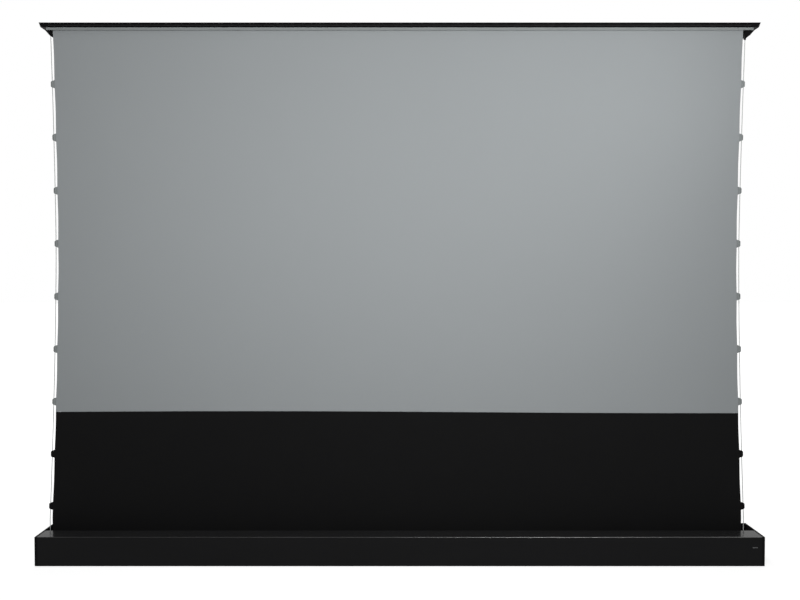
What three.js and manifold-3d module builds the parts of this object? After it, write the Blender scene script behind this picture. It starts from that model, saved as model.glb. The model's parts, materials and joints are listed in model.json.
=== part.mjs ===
// A floor-rising projection screen. A long floor housing holds a motor-driven roller, and two crossed-arm
// lifts raise a top bar that pulls the side-tensioned sheet off the roller. The bar closes the housing as
// its lid. Millimetres: X runs along the screen, Y to the back and Z up, from the middle of the footprint.
import * as THREE from "three";
import { mergeVertices } from "three/addons/utils/BufferGeometryUtils.js";
import Module from "manifold-3d";

const wasm = await Module();
wasm.setup();

// Whole screen
const screenLength = 2770;
const housingDepth = 195;
const housingHeight = 111.6;
const openHeight = 2073;
const runningGap = 0.3; // between pieces that rest on, or turn in, each other
const overrun = 5; // how far a cutting shape runs past what it cuts

// Housing shell
const shellWall = 2.5;
const footHeight = 2.7;
const footLength = 80;
const footWidth = 22;
const footInset = 135;
const footSetback = 17.5;
const skirtLift = 1.5; // underside of the front cover and the end caps
const shelfDepth = 87.5;
const shelfLip = 11.6;
const frontEdgeRadius = 2.5;
const trayLipHeight = 18;
const endPlate = 4;
const endRim = 3;
const endRimReach = 6;
const sealDepth = 8.7;
const sealHeight = 4;
const sealDrop = 4.6;

// Roller
const rollerHeight = 44;
const rollerRadius = 24;
const rollerWall = 1.5;
const wrapThickness = 1.4;
const tubeMargin = 1.5;
const plugInsert = 38;
const idleSpoolWidth = 11;
const idlePinRadius = 5;
const bearingPlate = 3.7;
const bearingHalfWidth = 30;
const bearingBelow = 36;
const bearingAbove = 34;

// Motor inside the roller
const motorRadius = 17.5;
const motorLength = 577;
const motorHeadRadius = 22;
const motorHeadLength = 19.7;
const motorStubRadius = 7;
const motorShaftRadius = 6;
const motorShaftLength = 30;
const driveWheelWidth = 24;
const driveCollar = 21;
const driveWheelSpace = 4;

// Sheet
const sheetSetback = 32; // from the shelf's rear edge to the sheet's front face
const sheetThickness = 0.8;
const greyHeight = 1485.5;
const waistInset = 67; // from the screen's ends to the sheet's edges at the waist
const topFlare = 14.5;
const bottomFlare = 32.5;
const straightDrop = 37.4; // stretch above the housing where the edges run straight
const waistShare = 0.5664;
const flarePower = 1.5;
const topShift = -6.7; // the sheet sits off the middle, because the motor's end needs room
const bottomShift = -11.6;
const tapeWidth = 12;
const tapeThickness = 1;

// Side tabs and cords
const tabCount = 9;
const lowestTab = 88.4;
const highestTab = 212.5;
const tabReach = 15;
const tabBase = 32;
const tabTip = 21;
const tabCorner = 3;
const sleeveThickness = 5;
const sleeveWidth = 6.4;
const cordRadius = 1.5;
const cordOffset = 9;

// Top bar
const barDepth = 97.5;
const lidThickness = 18.5;
const lidWall = 2.5;
const lidEdgeRadius = 2;
const lidFrontBox = 12;
const lidFrontWall = 4.5;
const grooveHeight = 2;
const grooveDepth = 1.2;
const kederRadius = 2.6;
const kederLift = 6.2;
const neckSpace = 0.5;
const capLength = 35;
const capSlant = 7;
const capTaper = 17.5;
const beamDepth = 48;
const beamDrop = 19.5;
const beamWall = 2;
const beamRearSpace = 1;
const closedGap = 0.4; // between the closed lid and the housing
const trimDrop = 10; // grey strip that hangs behind the lid's lower front edge
const trimThickness = 0.8;
const trimSetback = 2.5;
const trimInset = 27;
const bracketTopWidth = 30;
const bracketFlatWidth = 5;
const bracketDrop = 38.5;
const bracketEdgeDrop = 10;
const bracketFront = 3; // how far the bracket stands in front of the sheet
const bracketRear = 12;
const bracketSetback = 4;
const ferruleRadius = 3.2;
const ferruleShow = 2;
const ferruleRoot = 20;

// Crossed-arm lifts
const openAngle = THREE.MathUtils.degToRad(71.2);
const pivotInset = 205;
const armWidth = 20;
const armThickness = 8;
const armSpace = 2; // between the two layers of arms
const foldSpace = 12; // between the arms when the lift is folded
const armTopSpace = 0.4;
const headSpace = 1;
const rivetRadius = 4;
const rivetHeadRadius = 7;
const rivetHeadHeight = 2.5;
const railSpace = 3.8;
const railDepth = 14.4;
const railWall = 1.6;
const railHalfHeight = 6.9;
const railEnd = 23.5;
const railStub = 6;
const railFoot = 16;
const shoeLength = 36;
const earThickness = 4;
const earHalfWidth = 12;
const earFlange = 16;
const earFlangeThickness = 2.4;
const earDrop = 19.3;
const baseEarThickness = 6;
const baseEarHalfWidth = 15;
const baseEarRise = 12;
const baseFootRear = 10;
const baseFootThickness = 4;
const pivotPinRadius = 5;
const pivotHeadRadius = 8;
const pivotNutHeight = 5;

// Lift springs
const springWireRadius = 1.6;
const springPitch = 3.8;
const springTurns = 3.75;
const springLeg = 60;

// Controls
const controlHeight = 50; // height of the sockets and buttons on the rear wall
const moduleInset = 120; // insets run from the right-hand end to each control's middle
const moduleWidth = 50;
const moduleHeight = 24;
const moduleDepth = 21;
const flangeReach = 3;
const flangeThickness = 2;
const flushStep = 0.2; // how far the sockets and the button sit below the rear face
const inletShift = 12;
const inletWidth = 22;
const inletHeight = 14.4;
const inletDepth = 18;
const inletPinLength = 11;
const inletPinWidth = 2;
const inletPinHeight = 4;
const inletPinSpread = 7;
const inletPinRise = 2.5;
const rockerShift = 14;
const rockerWidth = 14;
const rockerHeight = 17.6;
const rockerWellHeight = 19.2;
const rockerWellDepth = 13.3;
const rockerFace = 5;
const rockerDip = 1;
const rockerBack = 5;
const rockerBackHeight = 10;
const rockerSetback = 6.2;
const rockerTilt = THREE.MathUtils.degToRad(-6);
const socketInset = 63;
const socketWidth = 16;
const socketHeight = 14;
const socketDepth = 18;
const socketBoreWidth = 11.8;
const socketBoreHeight = 8.4;
const socketBoreDepth = 12;
const buttonInset = 40;
const buttonRadius = 3.5;
const buttonFlangeRadius = 5;
const buttonFlangeThickness = 1.5;
const windowInset = 36;
const windowDrop = 40.6;
const windowWidth = 20;
const windowHeight = 4;
const windowFlange = 2;
const windowFlangeThickness = 1.5;
const windowStep = 0.1;
const boxInset = 25;
const boxLength = 170;
const boxDepth = 47.9;
const boxTopSpace = 26.6;

// Counts
const pinSides = 16;
const rollerSides = 32;
const cornerSteps = 4;
const armEndSteps = 8;
const greySteps = 26;
const blackSteps = 12;
const cordSteps = 60;
const cordSides = 8;
const springStepsPerTurn = 8;
const springSides = 5;

// Places worked out from the sizes above
const halfLength = screenLength / 2;
const halfDepth = housingDepth / 2;
const plateInner = halfLength - endPlate;
const rimInner = plateInner - endRimReach;
const shellEnd = rimInner - runningGap;
const coverFront = -halfDepth;
const coverBack = coverFront + shellWall;
const shelfBack = coverFront + shelfDepth;
const wallFront = halfDepth - shellWall;
const trayBottom = footHeight + runningGap;
const trayTop = trayBottom + shellWall;
const floorSeat = trayTop + runningGap;

const moduleX = halfLength - moduleInset;
const inletX = moduleX - inletShift;
const rockerX = moduleX + rockerShift;
const socketX = halfLength - socketInset;
const buttonX = halfLength - buttonInset;
const windowX = halfLength - windowInset;
const windowZ = housingHeight - windowDrop;

const sheetFront = shelfBack + sheetSetback;
const sheetBack = sheetFront + sheetThickness;
const sheetMiddle = sheetFront + sheetThickness / 2;
const tapeFront = sheetBack + runningGap;
const tapeBack = tapeFront + tapeThickness;
const cordY = tapeFront + tapeThickness / 2;
const wrapInner = rollerRadius + runningGap;
const wrapOuter = wrapInner + wrapThickness;
const rollerY = sheetFront - runningGap - wrapOuter;

const lidUnderside = openHeight - lidThickness;
const greyBottom = lidUnderside - greyHeight;
const flareBottom = housingHeight + straightDrop;
const kederBottom = kederLift - kederRadius;
const sheetTop = lidUnderside + kederBottom - runningGap;
const waistHalfWidth = halfLength - waistInset;
const waistZ = flareBottom + waistShare * (sheetTop - flareBottom);
const lidFront = halfDepth - barDepth;
const lidEnd = halfLength - capLength;
const beamRear = wallFront - beamRearSpace;
const beamFront = beamRear - beamDepth;

const layerAFront = beamFront + beamWall + headSpace + rivetHeadHeight + runningGap;
const layerARear = layerAFront + armThickness;
const layerBFront = layerARear + armSpace;
const layerBRear = layerBFront + armThickness;
const topPivotDrop = runningGap + beamWall + armTopSpace + armWidth / 2;
const foldPitch = armWidth + foldSpace;
const basePivotZ = housingHeight + closedGap - topPivotDrop - 2 * foldPitch;
const topPivotZ = lidUnderside - topPivotDrop;
const stageRise = (topPivotZ - basePivotZ) / 2;
const armLength = stageRise / Math.sin(openAngle);
const stageRun = armLength * Math.cos(openAngle);
const pivotX = halfLength - pivotInset;
const shoeX = pivotX - stageRun;
const railFront = layerBRear + railSpace;
const railBack = railFront + railDepth;
const railHalfLength = shoeX + shoeLength / 2 + railEnd;
const springFront = layerARear + runningGap;
const baseEarFront = springFront + 2 * springWireRadius + springTurns * springPitch + runningGap;
const baseEarBack = baseEarFront + baseEarThickness;

const sides = [
  { name: "left", sign: -1 },
  { name: "right", sign: 1 },
];

// Materials
const housingBlack = new THREE.MeshStandardMaterial({ color: 0x141516, roughness: 0.38, metalness: 0.35 });
const capBlack = new THREE.MeshStandardMaterial({ color: 0x101112, roughness: 0.5, metalness: 0 });
const armBlack = new THREE.MeshStandardMaterial({ color: 0x1a1b1c, roughness: 0.5, metalness: 0.3 });
const bareSteel = new THREE.MeshStandardMaterial({ color: 0x9a9da0, roughness: 0.35, metalness: 0.9 });
const rollerAlloy = new THREE.MeshStandardMaterial({ color: 0xa9acae, roughness: 0.4, metalness: 0.8 });
const whitePlastic = new THREE.MeshStandardMaterial({ color: 0xc9cac8, roughness: 0.5, metalness: 0 });
const blackPlastic = new THREE.MeshStandardMaterial({ color: 0x0d0d0e, roughness: 0.55, metalness: 0 });
const rubberBlack = new THREE.MeshStandardMaterial({ color: 0x0b0b0b, roughness: 0.85, metalness: 0 });
const smokedGloss = new THREE.MeshStandardMaterial({ color: 0x2b2b30, roughness: 0.15, metalness: 0 });
const screenGrey = new THREE.MeshStandardMaterial({ color: 0x9aa0a1, roughness: 0.6, metalness: 0.1 });
const dropBlack = new THREE.MeshStandardMaterial({ color: 0x17181a, roughness: 0.85, metalness: 0 });
const tabGrey = new THREE.MeshStandardMaterial({ color: 0x8c9192, roughness: 0.6, metalness: 0 });
const cordGrey = new THREE.MeshStandardMaterial({ color: 0xb9bbb9, roughness: 0.6, metalness: 0 });

// Outlines
function polygon(points) {
  return new THREE.Shape(points.map(([x, y]) => new THREE.Vector2(x, y)));
}

function rectangle(x0, y0, x1, y1) {
  return polygon([[x0, y0], [x1, y0], [x1, y1], [x0, y1]]);
}

function arcPoints(cx, cy, radius, from, to, steps) {
  const points = [];
  for (let i = 0; i <= steps; i += 1) {
    const angle = from + ((to - from) * i) / steps;
    points.push([cx + radius * Math.cos(angle), cy + radius * Math.sin(angle)]);
  }
  return points;
}

function disc(cx, cy, radius, count) {
  return polygon(arcPoints(cx, cy, radius, 0, 2 * Math.PI, count).slice(1));
}

// Prisms along each axis: a shape's two axes become Y and Z, X and Z, or X and Y
const axisX = new THREE.Vector3(1, 0, 0);
const axisY = new THREE.Vector3(0, 1, 0);
const axisZ = new THREE.Vector3(0, 0, 1);

function prism(shape, depth) {
  return new THREE.ExtrudeGeometry(shape, { depth, bevelEnabled: false });
}

function alongX(shape, low, high) {
  const turn = new THREE.Matrix4().makeBasis(axisY, axisZ, axisX);
  return prism(shape, high - low).applyMatrix4(turn).translate(low, 0, 0);
}

function alongY(shape, low, high) {
  const turn = new THREE.Matrix4().makeBasis(axisX, axisZ, axisY.clone().negate());
  return prism(shape, high - low).applyMatrix4(turn).translate(0, high, 0);
}

function alongZ(shape, low, high) {
  return prism(shape, high - low).translate(0, 0, low);
}

// Joining and cutting
function solidOf(geometry) {
  const bare = new THREE.BufferGeometry();
  const loose = geometry.index ? geometry.toNonIndexed() : geometry;
  bare.setAttribute("position", loose.getAttribute("position").clone());
  const merged = mergeVertices(bare);
  return new wasm.Manifold(
    new wasm.Mesh({
      numProp: 3,
      vertProperties: merged.attributes.position.array,
      triVerts: new Uint32Array(merged.index.array),
    }),
  );
}

function geometryOf(solid) {
  const mesh = solid.getMesh();
  const geometry = new THREE.BufferGeometry();
  geometry.setAttribute("position", new THREE.BufferAttribute(mesh.vertProperties, 3));
  geometry.setIndex(new THREE.BufferAttribute(mesh.triVerts, 1));
  geometry.computeVertexNormals();
  return geometry;
}

function join(geometries) {
  return geometryOf(geometries.map(solidOf).reduce((whole, next) => whole.add(next)));
}

function cut(geometry, tools) {
  return geometryOf(tools.map(solidOf).reduce((rest, tool) => rest.subtract(tool), solidOf(geometry)));
}

// The right-hand geometry, or its mirror image for the left
function mirrored(geometry, sign) {
  if (sign > 0) return geometry;
  const flipped = geometry.clone().scale(-1, 1, 1);
  const order = flipped.index.array;
  for (let i = 0; i < order.length; i += 3) {
    [order[i + 1], order[i + 2]] = [order[i + 2], order[i + 1]];
  }
  flipped.computeVertexNormals();
  return flipped;
}

// A named mesh in its own material
function piece(name, geometry, material) {
  const mesh = new THREE.Mesh(geometry, material);
  mesh.name = name;
  return mesh;
}

// Housing shell

function baseTray() {
  const front = coverBack + runningGap;
  const profile = polygon([
    [front, trayBottom],
    [halfDepth, trayBottom],
    [halfDepth, housingHeight],
    [wallFront, housingHeight],
    [wallFront, trayTop],
    [front + shellWall, trayTop],
    [front + shellWall, trayBottom + trayLipHeight],
    [front, trayBottom + trayLipHeight],
  ]);
  const tray = alongX(profile, -shellEnd, shellEnd);
  const wallLow = wallFront - overrun;
  const wallHigh = halfDepth + overrun;
  const opening = (x, width, height) =>
    rectangle(
      x - width / 2 - runningGap,
      controlHeight - height / 2 - runningGap,
      x + width / 2 + runningGap,
      controlHeight + height / 2 + runningGap,
    );
  return cut(tray, [
    alongY(opening(moduleX, moduleWidth, moduleHeight), wallLow, wallHigh),
    alongY(opening(socketX, socketWidth, socketHeight), wallLow, wallHigh),
    alongY(disc(buttonX, controlHeight, buttonRadius + runningGap, pinSides), wallLow, wallHigh),
  ]);
}

function frontCover() {
  const shelfUnder = housingHeight - shellWall;
  const centreY = coverFront + frontEdgeRadius;
  const centreZ = housingHeight - frontEdgeRadius;
  const profile = polygon([
    [coverFront, skirtLift],
    [coverBack, skirtLift],
    [coverBack, shelfUnder],
    [shelfBack - shellWall, shelfUnder],
    [shelfBack - shellWall, housingHeight - shelfLip],
    [shelfBack, housingHeight - shelfLip],
    [shelfBack, housingHeight],
    ...arcPoints(centreY, centreZ, frontEdgeRadius, Math.PI / 2, Math.PI, cornerSteps),
  ]);
  const window = rectangle(
    windowX - windowWidth / 2 - runningGap,
    windowZ - windowHeight / 2 - runningGap,
    windowX + windowWidth / 2 + runningGap,
    windowZ + windowHeight / 2 + runningGap,
  );
  const cover = alongX(profile, -shellEnd, shellEnd);
  return cut(cover, [alongY(window, coverFront - overrun, coverBack + overrun)]);
}

// An end plate with a rim that hides the shell's ends; the rim is open where the top bar comes down
function endCap(sign) {
  const centreY = coverFront + endRim;
  const centreZ = housingHeight - endRim;
  const outline = polygon([
    [coverFront, skirtLift],
    [halfDepth, skirtLift],
    [halfDepth, housingHeight],
    ...arcPoints(centreY, centreZ, endRim, Math.PI / 2, Math.PI, cornerSteps),
  ]);
  const block = alongX(outline, rimInner, halfLength);
  const hollow = polygon([
    [coverFront + endRim, skirtLift + endRim],
    [halfDepth - endRim, skirtLift + endRim],
    [halfDepth - endRim, housingHeight + overrun],
    [shelfBack, housingHeight + overrun],
    [shelfBack, housingHeight - endRim],
    [coverFront + endRim, housingHeight - endRim],
  ]);
  const cap = cut(block, [alongX(hollow, rimInner - overrun, plateInner)]);
  return mirrored(cap, sign);
}

function slotSeal() {
  const front = shelfBack + runningGap;
  const top = housingHeight - sealDrop;
  return alongX(rectangle(front, top - sealHeight, front + sealDepth, top), -shellEnd, shellEnd);
}

function footPad(signX, signY) {
  const x = signX * (halfLength - footInset);
  const y = signY * (halfDepth - footSetback);
  const outline = rectangle(x - footLength / 2, y - footWidth / 2, x + footLength / 2, y + footWidth / 2);
  return alongZ(outline, 0, footHeight);
}

// Controls

function infraredWindow() {
  const back = coverBack + runningGap;
  const face = rectangle(
    windowX - windowWidth / 2,
    windowZ - windowHeight / 2,
    windowX + windowWidth / 2,
    windowZ + windowHeight / 2,
  );
  const flange = rectangle(
    windowX - windowWidth / 2 - windowFlange,
    windowZ - windowHeight / 2 - windowFlange,
    windowX + windowWidth / 2 + windowFlange,
    windowZ + windowHeight / 2 + windowFlange,
  );
  return join([
    alongY(face, coverFront + windowStep, back + windowFlangeThickness / 2),
    alongY(flange, back, back + windowFlangeThickness),
  ]);
}

function controlBox() {
  const front = coverBack + runningGap + shellWall + runningGap;
  const right = halfLength - boxInset;
  const outline = rectangle(front, floorSeat, front + boxDepth, housingHeight - boxTopSpace);
  return alongX(outline, right - boxLength, right);
}

function rearBlock(x, width, height, depth) {
  const face = halfDepth - flushStep;
  const body = rectangle(x - width / 2, controlHeight - height / 2, x + width / 2, controlHeight + height / 2);
  const flange = rectangle(
    x - width / 2 - flangeReach,
    controlHeight - height / 2 - flangeReach,
    x + width / 2 + flangeReach,
    controlHeight + height / 2 + flangeReach,
  );
  const flangeBack = wallFront - runningGap;
  return join([alongY(body, face - depth, face), alongY(flange, flangeBack - flangeThickness, flangeBack)]);
}

function well(x, width, height, depth) {
  const face = halfDepth - flushStep;
  const outline = rectangle(
    x - width / 2,
    controlHeight - height / 2,
    x + width / 2,
    controlHeight + height / 2,
  );
  return alongY(outline, face - depth, face + overrun);
}

// Mains inlet with three flat pins, beside the well of the rocker switch
function powerInlet() {
  const floor = halfDepth - flushStep - inletDepth;
  const body = cut(rearBlock(moduleX, moduleWidth, moduleHeight, moduleDepth), [
    well(inletX, inletWidth, inletHeight, inletDepth),
    well(rockerX, rockerWidth, rockerWellHeight, rockerWellDepth),
  ]);
  const pins = [-1, 0, 1].map((step) => {
    const x = inletX + step * inletPinSpread;
    const z = controlHeight + (step === 0 ? inletPinRise : -inletPinRise);
    const outline = rectangle(
      x - inletPinWidth / 2,
      z - inletPinHeight / 2,
      x + inletPinWidth / 2,
      z + inletPinHeight / 2,
    );
    return alongY(outline, floor - flangeThickness / 2, floor + inletPinLength);
  });
  return join([body, ...pins]);
}

function powerRocker() {
  const halfHeight = rockerHeight / 2;
  const halfWidth = rockerWidth / 2 - runningGap;
  const profile = polygon([
    [rockerFace, -halfHeight],
    [rockerFace - rockerDip, 0],
    [rockerFace, halfHeight],
    [-rockerBack, rockerBackHeight / 2],
    [-rockerBack, -rockerBackHeight / 2],
  ]);
  return alongX(profile, -halfWidth, halfWidth);
}

function controlSocket() {
  return cut(rearBlock(socketX, socketWidth, socketHeight, socketDepth), [
    well(socketX, socketBoreWidth, socketBoreHeight, socketBoreDepth),
  ]);
}

function manualButton() {
  const flangeBack = wallFront - runningGap;
  const flangeFront = flangeBack - buttonFlangeThickness;
  const centre = [buttonX, controlHeight];
  return join([
    alongY(disc(...centre, buttonRadius, pinSides), flangeFront, halfDepth - flushStep),
    alongY(disc(...centre, buttonFlangeRadius, pinSides), flangeFront, flangeBack),
  ]);
}

// Roller, drawn about its own axis

const sheetLeft = sheetEdge(rollerHeight, -1);
const sheetRight = sheetEdge(rollerHeight, 1);
const tubeLeft = sheetLeft - tubeMargin;
const tubeRight = sheetRight + tubeMargin;
const driveSpoolLeft = tubeRight + runningGap;
const bearingInner = plateInner - runningGap - bearingPlate;
const motorHeadRight = bearingInner - runningGap;
const motorHeadLeft = motorHeadRight - motorHeadLength;

function ring(outer, inner, low, high) {
  const shape = disc(0, 0, outer, rollerSides);
  shape.holes.push(disc(0, 0, inner, rollerSides));
  return alongX(shape, low, high);
}

function rod(radius, low, high) {
  return alongX(disc(0, 0, radius, rollerSides), low, high);
}

function rollerTube() {
  return ring(rollerRadius, rollerRadius - rollerWall, tubeLeft, tubeRight);
}

function fabricWrap() {
  return ring(wrapOuter, wrapInner, sheetLeft, sheetRight);
}

function idlePlug() {
  const insertRadius = rollerRadius - rollerWall - runningGap;
  const spoolRight = tubeLeft - runningGap;
  const spoolLeft = spoolRight - idleSpoolWidth;
  const pinEnd = -(plateInner - 2 * runningGap);
  return join([
    rod(insertRadius, spoolRight - idleSpoolWidth / 2, tubeLeft + plugInsert),
    rod(wrapOuter, spoolLeft, spoolRight),
    rod(idlePinRadius, pinEnd, spoolLeft + idleSpoolWidth / 2),
  ]);
}

function drivePlug() {
  const insertRadius = rollerRadius - rollerWall - runningGap;
  const bore = motorRadius + runningGap;
  const spoolRight = motorHeadLeft - runningGap;
  const body = join([
    rod(insertRadius, tubeRight - driveCollar, driveSpoolLeft + driveCollar / 2),
    rod(wrapOuter, driveSpoolLeft, spoolRight),
  ]);
  return cut(body, [rod(bore, tubeRight - driveCollar - overrun, spoolRight + overrun)]);
}

function driveWheel() {
  const right = motorHeadLeft - motorLength - driveWheelSpace;
  const insertRadius = rollerRadius - rollerWall - runningGap;
  return ring(insertRadius, motorShaftRadius + runningGap, right - driveWheelWidth, right);
}

function tubularMotor() {
  const bodyLeft = motorHeadLeft - motorLength;
  const stubEnd = plateInner - 2 * runningGap;
  return join([
    rod(motorRadius, bodyLeft, motorHeadLeft + motorHeadLength / 2),
    rod(motorHeadRadius, motorHeadLeft, motorHeadRight),
    rod(motorStubRadius, motorHeadLeft + motorHeadLength / 2, stubEnd),
    rod(motorShaftRadius, bodyLeft - motorShaftLength, bodyLeft + motorShaftLength),
  ]);
}

// A plate on the inside of an end cap that carries one end of the roller
function bearingBracket(sign, holeRadius) {
  const outline = rectangle(
    rollerY - bearingHalfWidth,
    rollerHeight - bearingBelow,
    rollerY + bearingHalfWidth,
    rollerHeight + bearingAbove,
  );
  outline.holes.push(disc(rollerY, rollerHeight, holeRadius + runningGap, rollerSides));
  const inner = sign * bearingInner;
  const outer = sign * (bearingInner + bearingPlate);
  return alongX(outline, Math.min(inner, outer), Math.max(inner, outer));
}

// Sheet, tabs and cords

// Half the sheet's width at a height: the cords draw it in to a waist
function halfWidthAt(z) {
  if (z >= waistZ) {
    return waistHalfWidth + topFlare * ((z - waistZ) / (sheetTop - waistZ)) ** flarePower;
  }
  const depth = Math.min(waistZ - z, waistZ - flareBottom);
  return waistHalfWidth + bottomFlare * (depth / (waistZ - flareBottom)) ** flarePower;
}

function sheetEdge(z, sign) {
  const up = (z - rollerHeight) / (sheetTop - rollerHeight);
  return bottomShift + (topShift - bottomShift) * up + sign * halfWidthAt(z);
}

function cordX(z, sign) {
  return sheetEdge(z, sign) + sign * cordOffset;
}

function heights(low, high, steps) {
  return Array.from({ length: steps + 1 }, (_, i) => low + ((high - low) * i) / steps);
}

function sheetPanel(low, high, steps) {
  const levels = heights(low, high, steps);
  const up = levels.map((z) => [sheetEdge(z, 1), z]);
  const down = levels.map((z) => [sheetEdge(z, -1), z]).reverse();
  return alongY(polygon([...up, ...down]), sheetFront, sheetBack);
}

const tabPitch = (lidUnderside - highestTab - housingHeight - lowestTab) / (tabCount - 1);
const tabHeights = Array.from({ length: tabCount }, (_, i) => housingHeight + lowestTab + i * tabPitch);

// Tape behind the sheet's edge with its row of tabs, each folded round the cord at its middle
function tabStrip(sign) {
  const bottom = rollerHeight;
  const top = lidUnderside - runningGap;
  const outer = [[sheetEdge(bottom, sign), bottom]];
  for (const z of tabHeights) {
    const edge = sheetEdge(z, sign);
    const tip = edge + sign * tabReach;
    outer.push([sheetEdge(z - tabPitch / 2, sign), z - tabPitch / 2]);
    outer.push([sheetEdge(z - tabBase / 2, sign), z - tabBase / 2]);
    outer.push([tip - sign * tabCorner, z - tabTip / 2]);
    outer.push([tip, z - tabTip / 2 + tabCorner]);
    outer.push([tip, z + tabTip / 2 - tabCorner]);
    outer.push([tip - sign * tabCorner, z + tabTip / 2]);
    outer.push([sheetEdge(z + tabBase / 2, sign), z + tabBase / 2]);
  }
  outer.push([sheetEdge(top, sign), top]);
  const inner = heights(bottom, top, blackSteps).map((z) => [sheetEdge(z, sign) - sign * tapeWidth, z]);
  const strip = alongY(polygon([...outer, ...inner.reverse()]), tapeFront, tapeBack);
  const sleeveHeight = tabBase - ((tabBase - tabTip) * cordOffset) / tabReach + runningGap;
  const sleeves = tabHeights.map((z) => {
    const x = cordX(z, sign);
    const outline = rectangle(
      x - sleeveWidth / 2,
      z - sleeveHeight / 2,
      x + sleeveWidth / 2,
      z + sleeveHeight / 2,
    );
    return alongY(outline, cordY - sleeveThickness / 2, cordY + sleeveThickness / 2);
  });
  return cut(join([strip, ...sleeves]), [cordTube(sign, cordRadius + runningGap, -overrun)]);
}

function cordTube(sign, radius, bottomStep) {
  const top = lidUnderside - ferruleDrop(sign) - runningGap;
  const points = heights(rollerHeight + bottomStep, top, cordSteps).map(
    (z) => new THREE.Vector3(cordX(z, sign), cordY, z),
  );
  return new THREE.ExtrudeGeometry(disc(0, 0, radius, cordSides), {
    steps: cordSteps,
    bevelEnabled: false,
    extrudePath: new THREE.CatmullRomCurve3(points),
  });
}

// Top bar, drawn above and below the lid's underside

function topLid() {
  const front = lidFront;
  const rear = halfDepth;
  const grooveLow = (lidThickness - grooveHeight) / 2;
  const radius = lidEdgeRadius;
  const neckHalf = sheetThickness / 2 + neckSpace;
  const chamber = kederRadius + 2 * runningGap;
  const chamberFront = sheetMiddle - chamber;
  const chamberRear = sheetMiddle + chamber;
  const profile = polygon([
    [rear, 0],
    [rear, lidThickness],
    ...arcPoints(front + radius, lidThickness - radius, radius, Math.PI / 2, Math.PI, cornerSteps),
    [front, grooveLow + grooveHeight],
    [front + grooveDepth, grooveLow + grooveHeight],
    [front + grooveDepth, grooveLow],
    [front, grooveLow],
    [front, 0],
  ]);
  const lid = alongX(profile, -lidEnd, lidEnd);
  const low = -lidEnd - overrun;
  const high = lidEnd + overrun;
  const pocketTop = lidThickness - lidWall;
  const frontPocket = rectangle(
    front + lidFrontWall,
    lidWall,
    Math.min(front + lidFrontWall + lidFrontBox, chamberFront - lidWall),
    pocketTop,
  );
  const rearPocket = rectangle(chamberRear + lidWall, lidWall, rear - lidWall, pocketTop);
  return cut(lid, [
    alongX(frontPocket, low, high),
    alongX(rearPocket, low, high),
    alongX(rectangle(sheetMiddle - neckHalf, -overrun, sheetMiddle + neckHalf, kederLift), low, high),
    alongX(disc(sheetMiddle, kederLift, chamber, pinSides), low, high),
  ]);
}

function topBeam() {
  const top = -runningGap;
  const profile = polygon([
    [beamFront, -beamDrop],
    [beamFront + beamWall, -beamDrop],
    [beamFront + beamWall, top - beamWall],
    [beamRear - beamWall, top - beamWall],
    [beamRear - beamWall, -beamDrop],
    [beamRear, -beamDrop],
    [beamRear, top],
    [beamFront, top],
  ]);
  return alongX(profile, -lidEnd, lidEnd);
}

function barCap(sign) {
  const inner = sign * (lidEnd + runningGap);
  const under = sign * (halfLength - capSlant);
  const low = sign * (halfLength - capSlant - capTaper);
  const upper = polygon([
    [inner, 0],
    [under, 0],
    [sign * halfLength, lidThickness],
    [inner, lidThickness],
  ]);
  const lower = polygon([
    [inner, lidThickness / 2],
    [inner, -beamDrop],
    [low, -beamDrop],
    [under, 0],
    [under, lidThickness / 2],
  ]);
  return join([alongY(upper, lidFront, halfDepth), alongY(lower, beamFront, beamRear)]);
}

function topTrim() {
  const front = lidFront + trimSetback;
  const end = halfLength - trimInset;
  return alongX(rectangle(front, -trimDrop, front + trimThickness, -runningGap), -end, end);
}

function kederRod() {
  const left = sheetEdge(sheetTop, -1);
  const right = sheetEdge(sheetTop, 1);
  return alongX(disc(sheetMiddle, kederLift, kederRadius, pinSides), left, right);
}

// The slanted wedge that spreads the cords at the top
const bracketInner = halfLength - capSlant - capTaper - bracketTopWidth;
const bracketOuter = bracketInner + bracketTopWidth;

function ferruleDrop(sign) {
  const x = Math.abs(cordX(lidUnderside - bracketDrop, sign));
  const slope = (bracketDrop - bracketEdgeDrop) / (bracketTopWidth - bracketFlatWidth);
  return bracketEdgeDrop + (bracketOuter - x) * slope + ferruleShow;
}

function cordBracket(sign) {
  const top = -runningGap;
  const front = sheetFront - bracketFront;
  const rear = sheetFront + bracketRear;
  const middle = sheetFront + bracketSetback;
  const wedge = polygon([
    [sign * bracketInner, top],
    [sign * bracketOuter, top],
    [sign * bracketOuter, -bracketEdgeDrop],
    [sign * (bracketInner + bracketFlatWidth), -bracketDrop],
    [sign * bracketInner, -bracketDrop],
  ]);
  const clearEdge = Math.abs(sheetEdge(lidUnderside, sign)) + bracketSetback / 2;
  const inside = sign * (bracketInner - overrun);
  const room = rectangle(inside, -bracketDrop - overrun, sign * clearEdge, overrun);
  const wedgeSolid = cut(alongY(wedge, front, rear), [alongY(room, front - overrun, middle)]);
  const x = cordX(lidUnderside - bracketDrop, sign);
  const ferrule = alongZ(disc(x, cordY, ferruleRadius, pinSides), -ferruleDrop(sign), -ferruleRoot);
  return join([wedgeSolid, ferrule]);
}

// Crossed-arm lifts

function armOutline(holes) {
  const half = armWidth / 2;
  const quarter = Math.PI / 2;
  const outline = polygon([
    ...arcPoints(armLength, 0, half, -quarter, quarter, armEndSteps),
    ...arcPoints(0, 0, half, quarter, quarter + Math.PI, armEndSteps),
  ]);
  for (const [x, radius] of holes) outline.holes.push(disc(x, 0, radius + runningGap, pinSides));
  return outline;
}

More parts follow.
